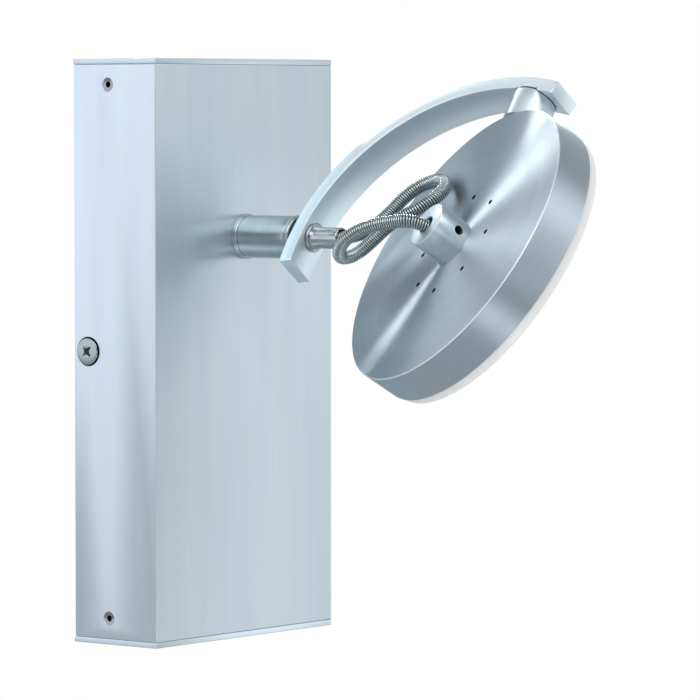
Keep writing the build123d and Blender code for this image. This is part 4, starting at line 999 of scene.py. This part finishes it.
def carried_frames(line, step):
    """Evenly spaced places along a line.

    Each comes with the direction ahead and two square to it, which don't twist.
    """
    lengths = lengths_along(line)
    count = round(lengths[-1] / step)
    places, k = [], 0
    for i in range(count + 1):
        s = lengths[-1] * i / count
        while k < len(line) - 2 and lengths[k + 1] < s:
            k += 1
        share = (s - lengths[k]) / (lengths[k + 1] - lengths[k])
        places.append(line[k].lerp(line[k + 1], share))
    side = Vector((0, 0, 1))
    frames = []
    for i, place in enumerate(places):
        ahead = (places[min(i + 1, count)] - places[max(i - 1, 0)]).normalized()
        side = (side - ahead * side.dot(ahead)).normalized()
        frames.append((place, ahead, side, ahead.cross(side)))
    return frames


def circle(centre, one, other, r, sides):
    """Points of a circle, given its centre and two directions square to each other."""
    turns = [tau * j / sides for j in range(sides)]
    return [centre + (one * cos(a) + other * sin(a)) * r for a in turns]


def tube_faces(count, sides, start):
    """Quads between the circles of a tube, and a face on each end."""
    faces = []
    for i in range(count - 1):
        for j in range(sides):
            a, b = start + i * sides + j, start + i * sides + (j + 1) % sides
            faces.append((a, b, b + sides, a + sides))
    last = start + (count - 1) * sides
    return faces + [tuple(range(start + sides - 1, start - 1, -1)), tuple(range(last, last + sides))]


def conduit():
    """Close-wound spring wire round a dark liner, along the conduit's route."""
    line = route_line(CONDUIT_ROUTE)
    coil_r = (CONDUIT_R - WIRE_R) * MM
    slope = WIRE_PITCH * MM / (tau * coil_r)
    wire = carried_frames(line, WIRE_PITCH * MM / WIRE_STEPS)
    points = []
    for i, (place, ahead, side, up) in enumerate(wire):
        turn = tau * i / WIRE_STEPS
        out = side * cos(turn) + up * sin(turn)
        run = (up * cos(turn) - side * sin(turn) + ahead * slope).normalized()
        points += circle(place + out * coil_r, out, run.cross(out), WIRE_R * MM, WIRE_SIDES)
    faces = tube_faces(len(wire), WIRE_SIDES, 0)
    wire_faces = len(faces)
    liner = carried_frames(line, LINER_STEP * MM)
    faces += tube_faces(len(liner), LINER_SIDES, len(points))
    for place, _, side, up in liner:
        points += circle(place, side, up, LINER_R * MM, LINER_SIDES)
    mesh = bpy.data.meshes.new("spring_conduit")
    mesh.from_pydata(points, [], faces)
    mesh.materials.append(WIRE)
    mesh.materials.append(NYLON_AND_PAINTED_SHADE)
    for face in mesh.polygons:
        face.use_smooth = len(face.vertices) == 4
        face.material_index = 0 if face.index < wire_faces else 1
    made = bpy.data.objects.new("spring_conduit", mesh)
    bpy.context.collection.objects.link(made)
    edit(made)
    bpy.ops.mesh.normals_make_consistent(inside=False)
    close()
    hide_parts("conduit")
    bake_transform(made)


# -------------------------------- pieces that keep their solids
KEPT = {
    "wall_bracket": ZINC, "ear_nuts": ZINC, "bracket_screws": ZINC, "earth_screw": ZINC,
    "earth_tag": ZINC, "barrel_nut": ZINC, "pivot_nut": ZINC, "lock_nut": ZINC, "hub_nut": ZINC,
    "stop_washer": ZINC, "board_screws": ZINC, "stop_pin": STEEL, "spring_washer": STEEL,
    "tilt_spring": STEEL, "post_screw": STEEL, "hub_set_screw": OXIDE_AND_PAINTED_SHADE, "entry_grommet": RUBBER,
    "driver_case": CASE, "driver_lid": CASE, "driver_board": BOARD, "driver_transformer": FERRITE,
    "driver_capacitors": NYLON_AND_PAINTED_SHADE, "terminal_block": CASE, "terminal_screws": BRASS,
    "earth_lead": GREEN, "mains_leads": BROWN, "output_lead": SILICONE, "pivot_flex": SILICONE,
    "head_leads": SILICONE, "friction_washer": NYLON_AND_PAINTED_SHADE, "saddle_washer": NYLON_AND_PAINTED_SHADE,
    "thermal_pad": PAD, "led_board": MASK, "leds": PHOSPHOR,
}


def dress_kept_nodes():
    for node, material in KEPT.items():
        made = frame["nodes"][node]
        made.data.materials.clear()
        made.data.materials.append(material)


# -------------------------------- studio, in metres
CAMERA_AT = Vector((-1.5994, -1.3492, 0.1041))
CAMERA_LOOK = Vector((0.7879, 0.6138, -0.0507))
CAMERA_LENS = 245.8
SUBJECT = Vector((0, -0.06, 0.03))
FLOOR_Z = -0.6
FLOOR_SIZE = 40.0
FLOOR_FADE = {"From_Min": 0.8, "From_Max": 2.2, "To_Min": 0.7, "To_Max": 1.0}  # to white, from the middle
SOFTBOXES = [  # name, direction, distance, width, height, radiance, tint, lights dull surfaces
    ("high_left", (-0.8, 0.1, 0.7), 1.8, 1.0, 1.0, 1.55, "FBFBFF", True),
    ("high_behind", (0, 0.6, 0.8), 1.8, 0.9, 0.6, 0.6, "FFFFFF", False),
    ("high_front", (0, -0.7, 0.7), 1.8, 1.1, 1.1, 2.2, "FFFFFF", False),
    ("high_camera", (-0.6, -0.45, 0.65), 1.8, 1.1, 1.1, 2.0, "FFFFFF", False),
    ("side_left", (-0.79, 0.61, 0.117), 3.0, 4.0, 1.7, 1.0, "F4F2FF", False),
    ("near_right", (0.79, -0.55, -0.27), 0.8, 0.4, 0.55, 0.81, "FFFFFF", True),
    ("front", (-0.52, -0.85, -0.05), 1.8, 0.7, 0.7, 1.3, "FFFFFF", False),
    ("upper_ray", (0.205, 0.765, 0.607), 1.8, 0.11, 0.11, 92.0, "FFFFFF", False),
    ("lower_ray", (0.621, 0.584, 0.523), 1.8, 0.25, 0.25, 83.0, "FFFFFF", False),
    ("rim_band", (-0.313, -0.7, -0.64), 0.85, 0.36, 0.3, 3.2, "FFFFFF", True),
]
DULL_LEVEL = 0.88  # brightness of the studio on dull surfaces
STUDIO_TURN = 142.1  # degrees that turn the photographer's side to x, and the right to y
# Brightness of the studio's walls as metal shows them
NEAR_RIGHT_ABOVE = (0.35, 0.93, 0.5)
FAR_LEFT_BELOW = (0.85, 0.55, 0.3)


def camera():
    made = bpy.data.objects.new("camera", bpy.data.cameras.new("camera"))
    made.data.lens = CAMERA_LENS
    made.data.sensor_width = 36
    made.data.clip_start, made.data.clip_end = 0.05, 60
    made.location = CAMERA_AT
    made.rotation_euler = CAMERA_LOOK.to_track_quat("-Z", "Y").to_euler()
    bpy.context.collection.objects.link(made)
    bpy.context.scene.camera = made


def softbox(name, towards, distance, width, height, radiance, tint, on_dull):
    """Soft rectangular lamp that faces the subject from a direction, unseen by the camera.

    One that isn't on_dull only shows in polished and brushed surfaces.
    """
    lamp = bpy.data.lights.new(name, "AREA")
    lamp.shape = "RECTANGLE"
    lamp.size, lamp.size_y = width, height
    lamp.energy = radiance * pi * width * height
    lamp.color = linear(tint)[:3]
    made = bpy.data.objects.new(name, lamp)
    direction = Vector(towards).normalized()
    made.location = SUBJECT + direction * distance
    made.rotation_euler = direction.to_track_quat("Z", "Y").to_euler()
    made.visible_camera = False
    made.visible_diffuse = on_dull
    bpy.context.collection.objects.link(made)


def backdrop():
    """White to the camera and through glass; metal shows walls of several greys in it."""
    world = bpy.data.worlds.new("studio")
    bpy.context.scene.world = world
    world.use_nodes = True
    tree = world.node_tree
    tree.nodes.clear()
    direction = add(tree, "TexCoord")["Generated"]
    turned_to = add(
        tree, "VectorRotate", {"rotation_type": "Z_AXIS"}, Vector=direction, Angle=radians(STUDIO_TURN)
    )["Vector"]
    level = 0.0
    for operation, walls in (("MAXIMUM", NEAR_RIGHT_ABOVE), ("MINIMUM", FAR_LEFT_BELOW)):
        half = add(tree, "VectorMath", {"operation": operation}, i0=turned_to, i1=(0, 0, 0))["Vector"]
        squares = add(tree, "VectorMath", {"operation": "MULTIPLY"}, i0=half, i1=half)["Vector"]
        share = add(tree, "VectorMath", {"operation": "DOT_PRODUCT"}, i0=squares, i1=walls)["Value"]
        level = add(tree, "Math", {"operation": "ADD"}, i0=level, i1=share)["Value"]
    path = add(tree, "LightPath")
    straight = {"i0": path["Is Camera Ray"], "i1": path["Is Transmission Ray"]}
    seen = add(tree, "Math", {"operation": "MAXIMUM"}, **straight)["Value"]
    plain = add(tree, "Background", Color=linear("FDFEFF"), Strength=DULL_LEVEL)["Background"]
    shown = add(tree, "Background", Color=linear("FFFFFF"), Strength=level)["Background"]
    white = add(tree, "Background", Color=linear("FFFFFF"), Strength=1.0)["Background"]
    lit = add(tree, "MixShader", Fac=path["Is Glossy Ray"], i1=plain, i2=shown)["Shader"]
    add(tree, "OutputWorld", Surface=add(tree, "MixShader", Fac=seen, i1=lit, i2=white)["Shader"])


def pale_floor():
    """Pale painted floor that goes over to white away from the object."""
    floor = begin(bpy.ops.mesh.primitive_plane_add, size=FLOOR_SIZE, location=(0, 0, FLOOR_Z))
    floor.name = "floor"
    material, tree, shader = new_material("pale_floor")
    fill(tree, shader, Base_Color=linear("CBCCCC"), Roughness=0.8)
    where = add(tree, "TexCoord")["Object"]
    from_middle = add(tree, "VectorMath", {"operation": "LENGTH"}, i0=where)["Value"]
    fade = add(tree, "MapRange", Value=from_middle, **FLOOR_FADE)["Result"]
    path = add(tree, "LightPath")
    part = add(tree, "Math", {"operation": "MULTIPLY"}, i0=path["Is Camera Ray"], i1=fade)["Value"]
    white = add(tree, "Emission", Color=linear("FFFFFF"), Strength=1.0)["Emission"]
    mixed = add(tree, "MixShader", Fac=part, i1=shader.outputs["BSDF"], i2=white)["Shader"]
    fill(tree, tree.nodes["Material Output"], Surface=mixed)
    floor.data.materials.append(material)


housing_cover()
end_cap("top_end_cap", "top_cap", ROW)
end_cap("bottom_end_cap", "bottom_cap", MIRROR_Z)
cap_screws()
side_screws()
barrel_flange()
barrel_sleeve()
barrel_collar()
hollow_bolt()
bow_arm()
tilt_washer()
tilt_screw()
head_dish()
head_hub()
head_post()
light_cover()
conduit()
dress_kept_nodes()

camera()
backdrop()
pale_floor()
for settings in SOFTBOXES:
    softbox(*settings)
bpy.context.scene.view_settings.view_transform = "Standard"
